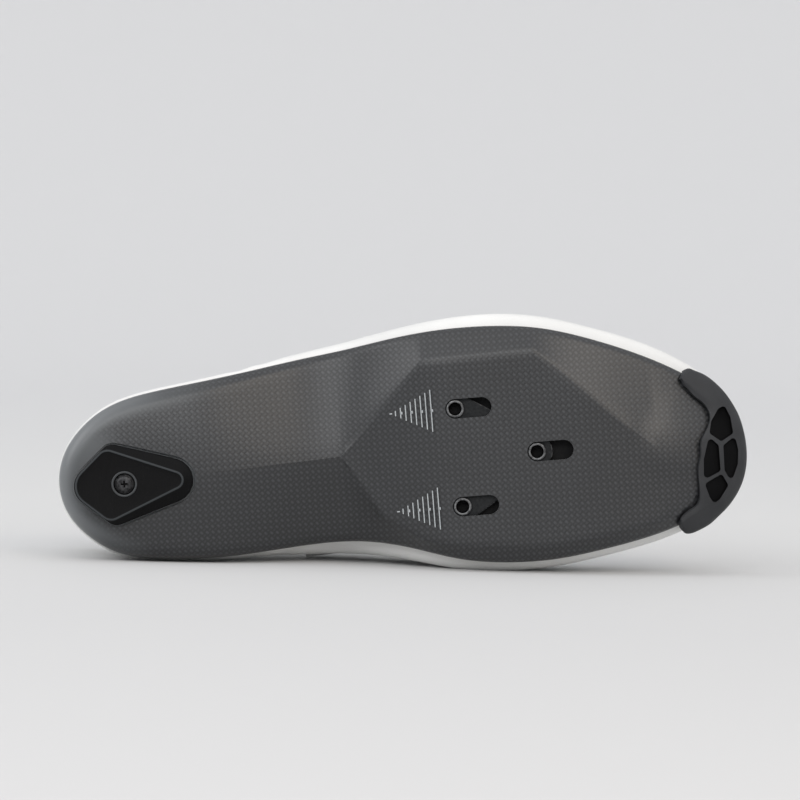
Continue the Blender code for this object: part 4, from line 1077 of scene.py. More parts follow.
def applied(obj):
    """The object's mesh with all its modifiers applied. The object itself is removed."""
    bpy.ops.object.select_all(action="DESELECT")
    obj.select_set(True)
    bpy.context.view_layer.objects.active = obj
    for step in list(obj.modifiers):
        bpy.ops.object.modifier_apply(modifier=step.name)
    mesh = obj.data
    bpy.data.objects.remove(obj)
    return mesh


def scratch(name, mesh):
    made = bpy.data.objects.new(name, mesh)
    bpy.context.scene.collection.objects.link(made)
    return made


def loft(name, rows, maps=None, closed_rows=True, closed_columns=False, caps=False, marks=None):
    """Mesh through rows of points, with a UV map in units of 100 mm and merged doubles.

    Marks are further maps by name, each a row of pairs for a row of points.
    """
    bm = bmesh.new()
    layers = [(bm.loops.layers.uv.new("last_mm"), maps or rows, 10.0)]
    layers += [(bm.loops.layers.uv.new(mark), values, 1.0) for mark, values in (marks or {}).items()]
    verts = [[bm.verts.new(point) for point in row] for row in rows]
    count, wide = len(rows), len(rows[0])
    for i in range(count if closed_rows else count - 1):
        j = (i + 1) % count
        for c in range(wide if closed_columns else wide - 1):
            d = (c + 1) % wide
            face = bm.faces.new((verts[i][c], verts[i][d], verts[j][d], verts[j][c]))
            face.smooth = True
            for corner, (r, k) in zip(face.loops, ((i, c), (i, d), (j, d), (j, c))):
                for layer, values, scale in layers:
                    corner[layer].uv = (values[r][k][0] * scale, values[r][k][1] * scale)
    if caps:
        bm.faces.new(verts[0])
        bm.faces.new(verts[-1][::-1])
    bmesh.ops.remove_doubles(bm, verts=bm.verts, dist=0.000004)
    bmesh.ops.dissolve_degenerate(bm, edges=bm.edges, dist=0.000004)
    bmesh.ops.recalc_face_normals(bm, faces=bm.faces)
    mesh = bpy.data.meshes.new(name)
    bm.to_mesh(mesh)
    bm.free()
    return mesh


def soften(rows, passes, last):
    """Evens the height of the first points of each row with their neighbours, so the creases turn soft.

    Round the toe the creases run out, so there the heights are evened much more.
    """
    heights = np.array([[point[2] for point in row[:last]] for row in rows])
    first = heights.copy()
    stations = np.array([rib.station for rib in RIBS])
    toe = np.interp(stations, TOE_BLEND, (0.0, 1.0))[:, None]
    across = -np.arange(len(RIBS)) % len(RIBS)
    fans = (stations <= HEEL_CENTRE[0], stations >= TOE_CENTRE[0])
    for turn in range(passes + TOE_PASSES):
        before = heights.copy()
        around = (np.roll(heights, 1, axis=0) + np.roll(heights, -1, axis=0)) / 2
        along = heights.copy()
        along[:, 1:-1] = (heights[:, :-2] + heights[:, 2:]) / 2
        heights = 0.4 * heights + 0.3 * around + 0.3 * along
        heights[:, -1] = first[:, -1]
        middle = (heights[:, 0] + heights[:, 1]) / 2
        middle = (middle + middle[across]) / 2
        for fan in fans:
            middle[fan] = middle[fan].mean()
        heights[:, 0] = middle
        if turn >= passes:
            heights = toe * heights + (1 - toe) * before
    ease_foot(np.array([[point[:2] for point in row[:last]] for row in rows]), heights)
    for row, values in zip(rows, heights):
        for point, value in zip(row, values):
            point[2] = value


def ease_foot(places, heights):
    """Lays one smooth patch, fitted to the surface about it, over the foot of the toe's fan of ribs."""
    x, y = np.moveaxis((places - TOE_FOOT) / LENGTH, -1, 0)
    away = np.hypot(x, y) * LENGTH
    terms = np.stack([np.ones_like(x), x, y, x * x, x * y, y * y], axis=-1)
    ring = (away > FOOT_INNER) & (away < FOOT_OUTER)
    fitted = terms @ np.linalg.lstsq(terms[ring], heights[ring], rcond=None)[0]
    heights += smoothstep(FOOT_OUTER, FOOT_INNER, away) * (fitted - heights)


def underside(rib):
    """Fine points of the sole's underside and rim along a rib."""
    flat, side, rim = PLATEAU_STEPS, FACET_STEPS, RIM_STEPS
    points = [rib.facet(rib.crease * k / flat) for k in range(flat + 1)]
    points += [rib.facet(rib.crease + (1 - rib.crease) * k / side) for k in range(1, side + 1)]
    points += [rib.arc(rib.turn + (pi / 2 - rib.turn) * k / rim) for k in range(1, rim + 1)]
    return points


def unrolled(points, brink):
    """Plan of the points, unrolled from the brink outwards so that the weave wraps the rim unstretched."""
    plan_points = [np.array(point[:2]) for point in points]
    for k in range(brink + 1, len(points)):
        step = np.linalg.norm(np.array(points[k]) - np.array(points[k - 1]))
        away = plan_points[k] - plan_points[brink]
        size = hypot(*away)
        direction = away / size if size > 1e-7 else np.array([0.0, 1.0])
        plan_points[k] = plan_points[k - 1] + direction * step
    return plan_points


def make_sole():
    """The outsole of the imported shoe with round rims, soft creases and rounded slots."""
    brink = PLATEAU_STEPS + FACET_STEPS
    rows = [underside(rib) for rib in RIBS]
    soften(rows, CREASE_PASSES, brink + 1)
    maps = [unrolled(row, brink) for row in rows]
    edges = []
    corner = RIM_BEVEL * 0.3
    for row, flat_map, rib in zip(rows, maps, RIBS):
        rim = (rib.rim(0.0, -RIM_BEVEL), rib.rim(corner, -corner), rib.rim(RIM_BEVEL), rib.rim(RIM_WALL))
        for extra in (*rim, *[rib.footbed(share) for share in BED_SHARES[::-1]]):
            step = np.linalg.norm(np.array(extra) - np.array(row[-1]))
            row.append(extra)
            flat_map.append(flat_map[-1] + rib.out * step)
        # The heel's painted light ends sooner on the inner side, which lies in shade.
        station = rib.station * (INNER_PAINTED_LIGHT_FADE if rib.side == "inner" else 1.0)
        edges.append([((rib.end - point[:2]) @ rib.out * 100, station) for point in map(np.array, row)])
    mesh = loft("sole", rows, maps, marks={"from_edge": edges})
    sole = scratch("fine_outsole", mesh)
    tools = []
    floor = SOLE_THICKNESS - PLATE_THICKNESS - GAP
    for x, y in bolts():
        outline = slot_outline(x, y, SLOT_TRAVEL, SLOT_WIDTH / 2, 16)
        tools.append(column("slot", [(outline, CUT_BOTTOM), (outline, floor + CUT_OVERLAP)]))
    pocket = plate_outline(PLATE_MARGIN + GAP, SLOT_TRAVEL)
    tools.append(column("plate_pocket", [(pocket, floor), (pocket, CUT_TOP)]))
    seat = [(kite(PAD_BORDER, 2 * GAP + grow), HEEL_LIFT + height) for grow, height in PAD_SEAT_LEVELS]
    tools.append(column("pad_seat", seat))
    mesh = cut_with(sole, tools, 38)
    settle("outsole_weave", mesh, carbon_finish(), "carbon_composite", "outsole")


def solid(name, rows, marks=None):
    """Closed body through closed outlines."""
    return scratch(name, loft(name, rows, closed_rows=False, closed_columns=True, caps=True, marks=marks))


def column(name, levels, marks=None):
    """Upright body from outlines at levels."""
    return solid(name, [[(x, y, z) for x, y in outline] for outline, z in levels], marks)


def make_bumper():
    """Toe bumper with rounded wings and the ribbed pocket in its underside, whose cells are painted near
    black as painted shade.
    """
    places = smooth_places(BUMPER[0][0], BUMPER[-1][0])
    bumper = solid("bumper", [bumper_near(place) + bend_row(bumper_far(place))[::-1] for place in places])
    grey = moulded_finish("grey_polyurethane", "292a2c", "37383a", 4.0, 0.46)
    # Painted shade: the pocket's cells are painted near black, with little gloss, for the shade in them.
    black = moulded_finish("pocket_floor_painted_shade", "030304", "080809", 3.0, 0.7, specular=0.12)
    tools = []
    for number, cell in enumerate(POCKET_CELLS, 1):
        corners = [(*plan(*corner), 0.0011) for corner in cell]
        middle = np.mean([corner[:2] for corner in corners], axis=0)
        outline = round_corners(corners, 0.0003, 5)
        shrunk = [(x + (middle[0] - x) * 0.04, y + (middle[1] - y) * 0.04) for x, y in outline]
        low = [(x, y, 0.0) for x, y in outline]
        tools.append(solid(f"cell_{number}", [low, roof_row(outline, -0.0002), roof_row(shrunk, 0.0006)]))
    mesh = cut_with(bumper, tools, 36, (grey, black))
    settle("fine_bumper", mesh, grey, "bumper_grey", "toe_bumper")


def smooth_places(first, last):
    """Places round the toe, closer together at the rounded wings."""
    share = np.linspace(0.0, 1.0, 110)
    return list(first + (last - first) * (share - np.sin(2 * pi * share) / (2 * pi) * 0.75))


def bend_row(points):
    """Finer row with soft corners through a few points."""
    points = np.array(points)
    for _ in range(2):
        cut = [points[0]]
        for a, b in zip(points, points[1:]):
            cut += [0.78 * a + 0.22 * b, 0.22 * a + 0.78 * b]
        cut.append(points[-1])
        points = np.array(cut)
    return list(points)


def roof_row(outline, over):
    return [(x, y, pocket_roof(x, y) + over) for x, y in outline]


def make_heel_pad():
    """Heel pad: chamfered border, and a raised face whose thin edge is painted paler as a highlight, round a
    ribbed field.
    """
    top = HEEL_LIFT + PAD_SEAT - GAP
    levels = [(PAD_BORDER, -0.0003, top, 0), (PAD_BORDER, 0.0, top - 0.0006, 0), *PAD_LEVELS]
    outlines = [(kite(shares, grow), height) for shares, grow, height, _ in levels]
    highlit_beads = [[(level[3], 0.0)] * len(outline) for level, (outline, _) in zip(levels, outlines)]
    pad = column("pad", outlines, {"highlit_beads": highlit_beads})
    x, clear = PAD_SCREW * LENGTH, SCREW_SHANK / 2 + GAP
    bore = turned("bore", x, 0.0, [(SCREW_RING / 2, CUT_BOTTOM), (SCREW_RING / 2, SCREW_SEAT)], 64)
    hole = turned("hole", x, 0.0, [(clear, CUT_BOTTOM), (clear, CUT_TOP)], 32)
    mesh = cut_with(pad, (bore, hole), 40)
    ribbed = moulded_finish("ribbed_black_polyurethane", "020203", "070708", 4.0, 0.55, 0.5, "highlit_beads", 0.16)
    settle("fine_heel_pad", mesh, ribbed, "heel_pad_black", "heel_pad")
    outer, inner = SCREW_RING / 2 - 0.0001, SCREW_HEAD / 2 + 0.0004
    section = [(inner, SCREW_SEAT - 0.0001), (inner, 0.0006), (inner + 0.0002, 0.0002), (outer - 0.0004, 0.0),
               (outer - 0.0001, 0.0002), (outer, 0.0005), (outer, SCREW_SEAT - 0.0001)]
    collar = round_band("screw_collar", x, 0.0, section)
    # Painted highlight: the collar round the screw is painted paler grey, for the light on its chamfered
    # ring.
    wear_and_highlight = moulded_finish("collar_painted_highlight", "3a3c3d", "4c4e50", 4.0, 0.5)
    settle("screw_collar", collar, wear_and_highlight, "heel_pad_black")


def scale_marks():
    """Two printed ladders behind the rear slots, that show how far the cleat sits from its middle."""
    verts, faces = [], []

    def bar(x, y, length, width):
        base = len(verts)
        for dx, dy in ((-width / 2, -length / 2), (width / 2, -length / 2), (width / 2, length / 2),
                       (-width / 2, length / 2)):
            verts.append((x + dx, y + dy, PRINT_HEIGHT))
        faces.append((base, base + 3, base + 2, base + 1))

    for side in (-1, 1):
        y = side * BOLT_SPACING / 2
        for number in range(MARK_COUNT):
            share = number / (MARK_COUNT - 1)
            x = MARK_START + MARK_PITCH * number
            bar(x, y, MARK_LENGTHS[0] + (MARK_LENGTHS[1] - MARK_LENGTHS[0]) * share, MARK_WIDTH)
            if number % 2:
                bar(x + MARK_WIDTH * 0.9, y, 0.0011, MARK_WIDTH * 1.9)
        bar(MARK_START - MARK_PITCH * 0.9, y, 0.0005, 0.0011)
    mesh = bpy.data.meshes.new("scale_marks")
    mesh.from_pydata(verts, [], faces)
    made = scratch("marks", mesh)
    ink = made.modifiers.new("ink", "SOLIDIFY")
    ink.thickness = 0.00003
    settle("scale_marks", applied(made), print_finish(), "carbon_composite")


def print_finish():
    """Pale grey pad-printed ink, thin enough that the weave roughens it."""
    made, tree, shader = finish("pale_grey_print")
    patchy = add(tree, "TexNoise", Vector=object_mm(tree), Scale=1.5, Detail=3.0)
    colour = add(tree, "ValToRGB", patchy, stops=((0.3, "9ba0a3"), (0.7, "b4b8ba")))
    fill(shader, Base_Color=colour, Roughness=0.5)
    return made


def turned(name, x, y, profile, sides=48):
    """Round column about an upright axis, from radii and heights."""
    angles = np.linspace(0, 2 * pi, sides + 1)[:-1]
    rows = [[(x + radius * cos(a), y + radius * sin(a), z) for a in angles] for radius, z in profile]
    return solid(name, rows)


def shaded(mesh, degrees):
    """The mesh with smooth shading, but sharp where its faces turn by more than an angle."""
    mesh.shade_smooth()
    mesh.set_sharp_from_angle(angle=radians(degrees))
    return mesh


def cut_with(obj, tools, degrees, shades=()):
    """Cuts the tools out of an object and gives its mesh. Of two shades the cut faces take the second."""
    for shade in shades:
        for item in (obj, *tools):
            item.data.materials.append(shade)
    for tool in tools:
        for face in tool.data.polygons:
            face.material_index = len(shades) - 1 if shades else 0
        step = obj.modifiers.new("cut", "BOOLEAN")
        step.operation, step.solver, step.object = "DIFFERENCE", "EXACT", tool
    mesh = applied(obj)
    for tool in tools:
        bpy.data.objects.remove(tool)
    return shaded(mesh, degrees)


def round_band(name, x, y, section, sides=64):
    """Closed ring about an upright axis, from radii and heights of its section."""
    angles = np.linspace(0, 2 * pi, sides + 1)[:-1]
    rows = [[(x + radius * cos(a), y + radius * sin(a), z) for radius, z in section] for a in angles]
    return shaded(loft(name, rows, closed_columns=True), 50)


def make_screw():
    """Pan-head screw with a cross recess, as packed, with a rounded head."""
    x = PAD_SCREW * LENGTH
    seat, end, half = SCREW_SEAT - GAP, HEEL_LIFT + SOLE_THICKNESS, SCREW_HEAD / 2
    crown = [(half * 0.78 * sin(a), 0.0003 + 0.0004 * (1 - cos(a))) for a in np.linspace(0.06, pi / 2, 8)]
    crown.append((half * 0.97, 0.0011))
    profile = crown + [(half, seat - 0.0001), (half - 0.0001, seat), (SCREW_SHANK / 2, seat),
                       (SCREW_SHANK / 2, end - 0.0004), (SCREW_SHANK / 2 - 0.0004, end)]
    screw = turned("screw", x, 0.0, profile)
    arm, narrow = CROSS_LENGTH / 2 * 0.72, CROSS_WIDTH / 2 * 0.8
    cross = []
    for a, b in ((1, 0), (0, 1), (-1, 0), (0, -1)):
        for along, across in ((arm, -narrow), (arm, narrow), (narrow, narrow)):
            cross.append((a * along - b * across, b * along + a * across))
    tool = column("cross", [([(x + a, b) for a, b in cross], -0.001),
                            ([(x + a * 0.8, b * 0.8) for a, b in cross], CROSS_DEPTH)])
    steel = oxide_finish("black_oxide_steel", "2c2c2d", "565657", 0.4)
    # Painted shade: the cross recess is painted near black.
    dark = moulded_finish("recess_painted_shade", "040404", "080808", 4.0, 0.8)
    mesh = cut_with(screw, [tool], 32, (steel, dark))
    settle("fine_heel_screw", mesh, steel, "black_steel", "heel_screw")


def make_nut_plate():
    """Triangular plate with three threaded bushings, as packed, with chamfered rims and a thread."""
    low = SOLE_THICKNESS - PLATE_THICKNESS
    outline = plate_outline(PLATE_MARGIN)
    inner = plate_outline(PLATE_MARGIN - 0.0004)
    plate = column("plate", [(inner, low), (outline, low + 0.0004), (outline, SOLE_THICKNESS - 0.0003),
                             (inner, SOLE_THICKNESS)])
    outer, bore = SLOT_WIDTH / 2 - GAP, BUSHING_BORE / 2
    clear = bore + 0.0004
    holes = [turned("hole", x, y, [(clear, CUT_BOTTOM), (clear, CUT_TOP)]) for x, y in bolts()]
    mesh = cut_with(plate, holes, 30)
    # Painted highlight: the plate's chamfers and the bushings' faces take a bright steel.
    rims = oxide_finish("rim_painted_highlight", "4a4a4b", "8c8d8e", 0.38)
    mesh.materials.append(oxide_finish("blackened_plate", "2c2d2e", "3a3b3c", 0.5))
    mesh.materials.append(rims)
    for face in mesh.polygons:
        face.material_index = int(0.3 < abs(face.normal.z) < 0.95)
    made = settle("fine_nut_plate", mesh, rims, "nut_plate_steel", "cleat_nut_plate")
    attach(made, NUTS_BODY)
    thread = []
    for turn in range(10):
        z = 0.0013 + 0.0004 * turn
        if z < SOLE_THICKNESS - 0.0004:
            thread += [(bore, z), (bore - 0.00022, z + 0.0002)]
    section = [(outer - 0.0003, BUSHING_FACE), (outer, BUSHING_FACE + 0.0003), (outer, low - 0.00005),
               (clear, low - 0.00005), (clear, SOLE_THICKNESS), (bore, SOLE_THICKNESS),
               *thread[::-1], (bore, BUSHING_FACE + 0.0006), (bore + 0.0003, BUSHING_FACE + 0.0001),
               (bore + 0.0005, BUSHING_FACE)]
    # Painted shade: the bushings' bores and outer walls are painted near black.
    dark = moulded_finish("bore_painted_shade", "020202", "040404", 4.0, 0.8, specular=0.05)
    for number, (x, y) in enumerate(bolts(), 1):
        mesh = round_band(f"bushing_{number}", x, y, section)
        mesh.materials.append(rims)
        mesh.materials.append(dark)
        for face in mesh.polygons:
            away = hypot(face.center[0] - x, face.center[1] - y)
            face.material_index = int(away < bore + 0.0002 or away > outer - 0.0001)
        made = settle(f"bushing_{number}", mesh, rims, "nut_plate_steel")
        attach(made, NUTS_BODY)


def trough(place, middle, width):
    return np.exp(-((place - middle) / width) ** 2)


def wall_lengths():
    """How far each point of the wall's grid lies up its rib, and round the shoe, in metres."""
    up = np.linalg.norm(np.diff(WALL_GRID, axis=1), axis=2)
    up = np.concatenate([np.zeros((len(up), 1)), np.cumsum(up, axis=1)], axis=1)
    level = 2 + SWELL_STEPS
    step = np.linalg.norm(WALL_GRID[:, level] - np.roll(WALL_GRID[:, level], 1, axis=0), axis=1)
    step[0] = 0.0
    return up, np.cumsum(step)


def relief():
    """Raised overlays and soft creases of the upper, in metres along its normals."""
    up, _ = wall_lengths()
    station = np.array([rib.station for rib in RIBS])[:, None]
    outer = np.array([rib.side == "outer" for rib in RIBS])[:, None]
    share = up / up[:, -1:]
    height = up - up[:, 2:3]
    rise = np.zeros_like(up)
    band_top = 0.011 + 0.010 * smoothstep(0.80, 0.97, station) + 0.016 * smoothstep(0.22, 0.05, station)
    overlay = smoothstep(band_top + 0.0008, band_top - 0.0008, height) * smoothstep(0.0, 0.003, height)
    rise += OVERLAY_STEP * overlay
    stay = smoothstep(0.011, 0.0095, up[:, -1:] - up) * smoothstep(0.40, 0.44, station)
    rise += OVERLAY_STEP * stay * (1 - overlay)
    flex = smoothstep(0.35, 0.8, share) * (station < 0.90)
    for middle, depth in FLEX_CREASES:
        lean = middle + 0.020 * (1 - share) * np.where(outer, 1.0, -1.0)
        rise -= depth * trough(station, lean, 0.0065) * flex
        rise += 0.5 * depth * trough(station, lean + 0.016, 0.008) * flex
    side = smoothstep(0.1, 0.4, share) * smoothstep(1.0, 0.75, share)
    for middle, depth in SIDE_CREASES:
        rise -= depth * trough(station, middle - 0.10 * (share - 0.5), 0.012) * side
    rise *= smoothstep(0.0, 0.002, up - up[:, 2:3])
    return rise


def make_upper():
    """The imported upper's wall, finer, with its overlays, eyestays, creases and padded collar."""
    outside = WALL_GRID + WALL_NORMALS * relief()[:, :, None]
    inside = WALL_GRID - WALL_NORMALS * WALL_THICKNESS[:, :, None]
    up, around = wall_lengths()
    rows, maps, vents = [], [], []
    station = np.array([rib.station for rib in RIBS])
    for i, (outer, inner) in enumerate(zip(outside, inside)):
        along = outer[-1] - outer[-2]
        along = along / np.linalg.norm(along)
        middle = (outer[-1] + inner[-1]) / 2
        half = (outer[-1] - inner[-1]) / 2
        tip = along * np.linalg.norm(half)
        roll = [middle + half * cos(a) + tip * sin(a) for a in np.linspace(0, pi, 8)[1:-1]]
        rows.append([*outer, *roll, *inner[::-1]])
        lengths = list(up[i]) + [up[i][-1]] * len(roll) + list(up[i][::-1])
        maps.append([(around[i], length) for length in lengths])
        height = up[i] - up[i][2]
        vent = (height > VENT_HEIGHTS[0]) & (height < VENT_HEIGHTS[1])
        vent &= VENT_STATIONS[0] < station[i] < VENT_STATIONS[1]
        vents.append([(float(value), 0.0) for value in vent] + [(0.0, 0.0)] * (len(roll) + len(inner)))
    mesh = loft("upper", rows, maps, closed_columns=True, marks={"vents": vents})
    mesh.shade_smooth()
    settle("fine_upper", mesh, microfibre_finish(), "white_microfibre", "upper")


def trimmed(grid, planes, near):
    """The form between planes. Points this near to a plane count as on it."""
    mesh = loft("form", [list(row) for row in grid], closed_rows=False)
    bm = bmesh.new()
    bm.from_mesh(mesh)
    bpy.data.meshes.remove(mesh)
    for point, normal in planes:
        bmesh.ops.bisect_plane(bm, geom=[*bm.verts, *bm.edges, *bm.faces], dist=near, plane_co=point,
                               plane_no=normal, clear_outer=True)
    return bm


def cut_sheet(name, grid, planes, thickness, rounding):
    """Piece of the form between planes, with its thickness and rounded edges."""
    bm = trimmed(grid, planes, 0.00002)
    bmesh.ops.remove_doubles(bm, verts=bm.verts, dist=0.0001)
    top = max(bm.faces, key=lambda face: face.calc_center_median().z)
    if top.normal.z < 0:
        bmesh.ops.reverse_faces(bm, faces=bm.faces)
    mesh = bpy.data.meshes.new(name)
    bm.to_mesh(mesh)
    bm.free()
    made = scratch(name, mesh)
    shell = made.modifiers.new("thickness", "SOLIDIFY")
    shell.thickness = abs(thickness)
    shell.offset = 1.0 if thickness > 0 else -1.0
    edge = made.modifiers.new("edge", "BEVEL")
    edge.width = rounding
    edge.segments = 2
    edge.limit_method = "ANGLE"
    edge.angle_limit = radians(50)
    return shaded(applied(made), 60)


def sheet_path(grid, point, normal, planes):
    """Line where a plane crosses the form between other planes, ordered across the shoe, with normals."""
    bm = trimmed(grid, planes, 0.00001)
    found = bmesh.ops.bisect_plane(bm, geom=[*bm.verts, *bm.edges, *bm.faces], dist=0.00001, plane_co=point,
                                   plane_no=normal)["geom_cut"]
    verts = sorted((v for v in found if isinstance(v, bmesh.types.BMVert)), key=lambda v: v.co.y)
    bm.normal_update()
    spots = [(np.array(v.co), np.array(v.normal)) for v in verts]
    bm.free()
    spots = [(p, n if n[2] > 0 else -n) for p, n in spots]
    return [p for p, _ in spots], [n for _, n in spots]


def stitches(name, path, normals, pitch, size, radius, lift, thread, slot):
    """Row of sunk stitches along a path, as one mesh."""
    path, normals = np.array(path), np.array(normals)
    gone = np.concatenate([[0.0], np.cumsum(np.linalg.norm(np.diff(path, axis=0), axis=1))])
    count = int(gone[-1] / pitch)
    verts, faces = [], []
    sides = 6
    for k in range(count):
        middle = (k + 0.5) * gone[-1] / count
        ends = []
        for at in (middle - size / 2, middle, middle + size / 2):
            ends.append((np.array([np.interp(at, gone, path[:, c]) for c in range(3)]),
                         np.array([np.interp(at, gone, normals[:, c]) for c in range(3)])))
        along = ends[2][0] - ends[0][0]
        along /= np.linalg.norm(along)
        base = len(verts)
        for (spot, normal), sink, wide in ((ends[0], -0.9, 0.45), (ends[0], -0.3, 0.9), (ends[1], 0.25, 1.0),
                                           (ends[2], -0.3, 0.9), (ends[2], -0.9, 0.45)):
            normal = normal / np.linalg.norm(normal)
            across = np.cross(along, normal)
            shift = along * radius * (0.6 if wide < 0.5 else 0.0) * (1 if spot is ends[2][0] else -1)
            for s in range(sides):
                a = 2 * pi * s / sides
                verts.append(spot + shift + normal * (lift + radius * (sink * 0.6 + wide * sin(a)))
                             + across * radius * wide * cos(a))
        for ring in range(4):
            for s in range(sides):
                t = (s + 1) % sides
                faces.append((base + ring * sides + s, base + ring * sides + t,
                              base + (ring + 1) * sides + t, base + (ring + 1) * sides + s))
        faces.append(tuple(base + s for s in range(sides))[::-1])
        faces.append(tuple(base + 4 * sides + s for s in range(sides)))
    mesh = bpy.data.meshes.new(name)
    mesh.from_pydata([tuple(v) for v in verts], [], faces)
    bm = bmesh.new()
    bm.from_mesh(mesh)
    bmesh.ops.recalc_face_normals(bm, faces=bm.faces)
    bm.to_mesh(mesh)
    bm.free()
    mesh.shade_smooth()
    return settle(name, mesh, thread, slot)


def make_straps():
    """Three coated webbing straps over the throat, each stitched along both edges."""
    front, run = throat_line()
    across, down = STRAP_END_TILT
    grid, raised = (form_grid(FORM_GAP + over, False) for over in (0.0, STRAP_THICKNESS))
    webbing = cloth_finish("coated_strap_webbing", "d6d6d4", "e6e6e4", 1.3, 0.1, 0.55)
    thread = plain_finish("white_polyester_thread", "e8e8e5", 0.5)
    for name, place, width, outer_low, inner_low in STRAPS:
        middle = front + run * place
        ends = [((0, STRAP_END_OUTER, outer_low), (0, -across, -down)),
                ((0, STRAP_END_INNER, inner_low), (0, across, -down))]
        sides = [(middle - run * width / 2, -run), (middle + run * width / 2, run)]
        mesh = cut_sheet(f"fine_{name}", grid, sides + ends, STRAP_THICKNESS, 0.0004)
        settle(f"fine_{name}", mesh, webbing, "strap_white", name)
        near_ends = [(np.array(p) - np.array(n) * 0.0025, n) for p, n in ends]
        for number, side in enumerate((-1, 1)):
            edge = middle + run * side * (width / 2 - 0.0022)
            path, normals = sheet_path(raised, edge, run, near_ends)
            stitches(f"{name}_stitches_{number + 1}", path, normals, 0.0031, 0.0022, 0.00026, 0.0, thread,
                     "strap_white")


def make_tongue():
    """Padded tongue under the straps: knitted mesh over foam, with sewn channels across."""
    front, run = throat_line()
    half = TONGUE_WIDTH / 2
    wide = TONGUE_WIDTH_STATION * LENGTH
    planes = [((wide, half, 0), (-TONGUE_TAPER, 1, 0)), ((wide, -half, 0), (-TONGUE_TAPER, -1, 0)),
              (front - run * TONGUE_TOE_END, -run), (front + run * TONGUE_TOP_END, run)]
    grid = form_grid(FORM_GAP, True)
    normals = grid_normals(grid, False)
    if normals[len(normals) // 2][normals.shape[1] // 2][2] < 0:
        normals = -normals
    place = (grid - front) @ run
    channel = np.abs(np.sin(pi * place / TONGUE_CHANNEL)) ** 0.6
    exposed = smoothstep(0.076, 0.082, place)
    grid = grid - normals * (0.0009 * (1 - channel) * (0.25 + 0.75 * exposed))[:, :, None]
    mesh = cut_sheet("fine_tongue", grid, planes, -TONGUE_THICKNESS, 0.0011)
    knit = cloth_finish("tongue_knit", "cfcfcc", "e6e6e4", 1.7, 0.3)
    settle("fine_tongue", mesh, knit, "tongue_white", "tongue")


def make_insole():
    """Fabric-covered foam footbed, rounded at its edge."""
    inset = RIM_WALL + GAP + UPPER_WALL + GAP
    over = INSOLE_LIFT
    shares = [share for a, b in zip(BED_SHARES, BED_SHARES[1:]) for share in np.linspace(a, b, 7)[:-1]]
    rows = []
    for rib in RIBS:
        edge = rib.footbed_edge(inset, over)
        low = []
        for share in shares:
            i = min(int(np.searchsorted(BED_SHARES, share, side="right")) - 1, len(BED_SHARES) - 2)
            a, b = BED_SHARES[i], BED_SHARES[i + 1]
            part = (share - a) / (b - a)
            point = (1 - part) * rib.footbed(a, over) + part * rib.footbed(b, over)
            if hypot(*(point[:2] - rib.foot)) < hypot(*(edge[:2] - rib.foot)) - 0.001:
                low.append(point)
            else:
                low.append(edge * 0.999 + np.array([*rib.foot, edge[2]]) * 0.001)
        low.append(edge)
        high = [point + (0.0, 0.0, INSOLE_THICKNESS) for point in low]
        out = np.array([*rib.out, 0.0])
        corner = [edge + out * -0.0002 + np.array([0, 0, INSOLE_THICKNESS - 0.0004]),
                  edge + out * -0.0008 + np.array([0, 0, INSOLE_THICKNESS])]
        rows.append(low + corner + high[-3::-1])
    mesh = shaded(loft("fine_insole", rows), 50)
    # The cover's colour is not known: it is painted near black, without sheen, as painted shade seen through
    # the slots.
    cover = cloth_finish("insole_fabric", "050506", "0e0f10", 0.9, 0.0, 0.95)
    settle("fine_insole", mesh, cover, "insole_foam", "insole")


def collar_seam():
    """Row of stitches just under the edge of collar and throat."""
    up, _ = wall_lengths()
    path, normals = [], []
    for i in range(len(RIBS)):
        at = up[i][-1] - COLLAR_SEAM
        path.append([np.interp(at, up[i], WALL_GRID[i][:, c]) for c in range(3)])
        normals.append([np.interp(at, up[i], WALL_NORMALS[i][:, c]) for c in range(3)])
    thread = plain_finish("white_nylon_thread", "e4e4e1", 0.5)
    lift = OVERLAY_STEP * 0.6
    stitches("collar_stitches", path + path[:1], normals + normals[:1], 0.0032, 0.0023, 0.00027, lift, thread,
             "white_microfibre")


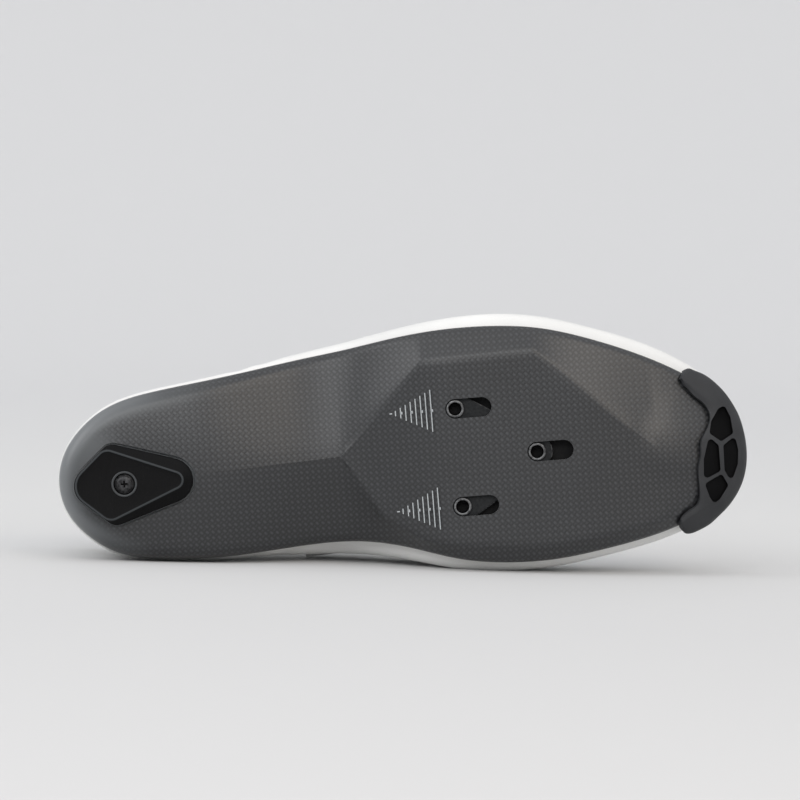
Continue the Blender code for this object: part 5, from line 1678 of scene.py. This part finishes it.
def studio():
    """Pale floor that curves up behind, painted darker towards the front as painted shade, soft lights, and
    the camera square to the sole.
    """
    profile = [(-4.0, 0.0), (1.2, 0.0)]
    profile += [(1.2 + 1.0 * sin(a), 1.0 - 1.0 * cos(a)) for a in np.linspace(0.1, pi / 2, 16)]
    profile.append((2.2, 5.0))
    mesh = bpy.data.meshes.new("pale_floor")
    points = [(x, y, z) for y, z in profile for x in (-5.0, 5.0)]
    faces = [(2 * k, 2 * k + 1, 2 * k + 3, 2 * k + 2) for k in range(len(profile) - 1)]
    mesh.from_pydata(points, [], faces)
    mesh.shade_smooth()
    paint, tree, shader = finish("pale_paper")
    depth = add(tree, "SeparateXYZ", add(tree, "TexCoord").outputs["Object"]).outputs[1]
    depth = add(tree, "MapRange", depth, -1.0, 1.2, 0.0, 1.0)
    # Painted shade: the floor is painted darker towards the front, so the sole's lower facets reflect less
    # light.
    paper = add(tree, "ValToRGB", depth,
                stops=((0.0, "c6c6c6"), (0.32, "cdcdcd"), (0.6, "d9d9d8"), (1.0, "dedede")))
    fill(shader, Base_Color=paper, Roughness=0.9, Specular_IOR_Level=0.1)
    mesh.materials.append(paint)
    scratch("pale_floor", mesh)

    scene = bpy.context.scene
    world = bpy.data.worlds.new("soft_room")
    scene.world = world
    world.use_nodes = True
    tree = world.node_tree
    height = add(tree, "SeparateXYZ", add(tree, "TexCoord").outputs["Generated"]).outputs[2]
    strength = add(tree, "MapRange", height, 0.0, 0.7, *SKY)
    fill(tree.nodes["Background"], Color=srgb("fbfcff"), Strength=strength)

    def softbox(name, place, size, radiance, tint="ffffff"):
        lamp = bpy.data.lights.new(name, "AREA")
        lamp.shape = "RECTANGLE"
        lamp.size, lamp.size_y = size
        lamp.energy = radiance * pi * size[0] * size[1]
        lamp.color = srgb(tint)[:3]
        made = bpy.data.objects.new(name, lamp)
        scene.collection.objects.link(made)
        made.location = place
        made.rotation_euler = (Vector((0.0, 0.0, 0.05)) - Vector(place)).to_track_quat("-Z", "Y").to_euler()

    softbox("toe_softbox", (0.95, -1.50, 1.15), (1.0, 0.8), 2.9, "fff3e4")
    softbox("front_softbox", (-0.55, -1.75, 1.0), (1.6, 0.7), 2.7)
    softbox("heel_softbox", (-1.6, -0.5, 0.9), (0.8, 0.8), 2.2)

    lens = bpy.data.cameras.new("photo_camera")
    camera = bpy.data.objects.new("photo_camera", lens)
    scene.collection.objects.link(camera)
    scene.camera = camera
    roll = radians(PHOTO_ROLL)
    turn = LAY.to_3x3()
    right = turn @ Vector((cos(roll), sin(roll), 0.0))
    up = turn @ Vector((sin(roll), -cos(roll), 0.0))
    back_way = right.cross(up)
    middle = LAY @ Vector(PHOTO_MIDDLE)
    place = Matrix((right, up, back_way)).transposed().to_4x4()
    place.translation = middle + back_way * CAMERA_AWAY
    camera.matrix_world = place
    lens.sensor_width = 36.0
    lens.lens = 36.0 * CAMERA_AWAY / PHOTO_WIDTH
    lens.clip_end = 50.0
    scene.view_settings.view_transform = "Standard"


make_sole()
make_upper()
collar_seam()
make_straps()
make_tongue()
make_insole()
make_bumper()
make_heel_pad()
make_screw()
make_nut_plate()
scale_marks()
studio()
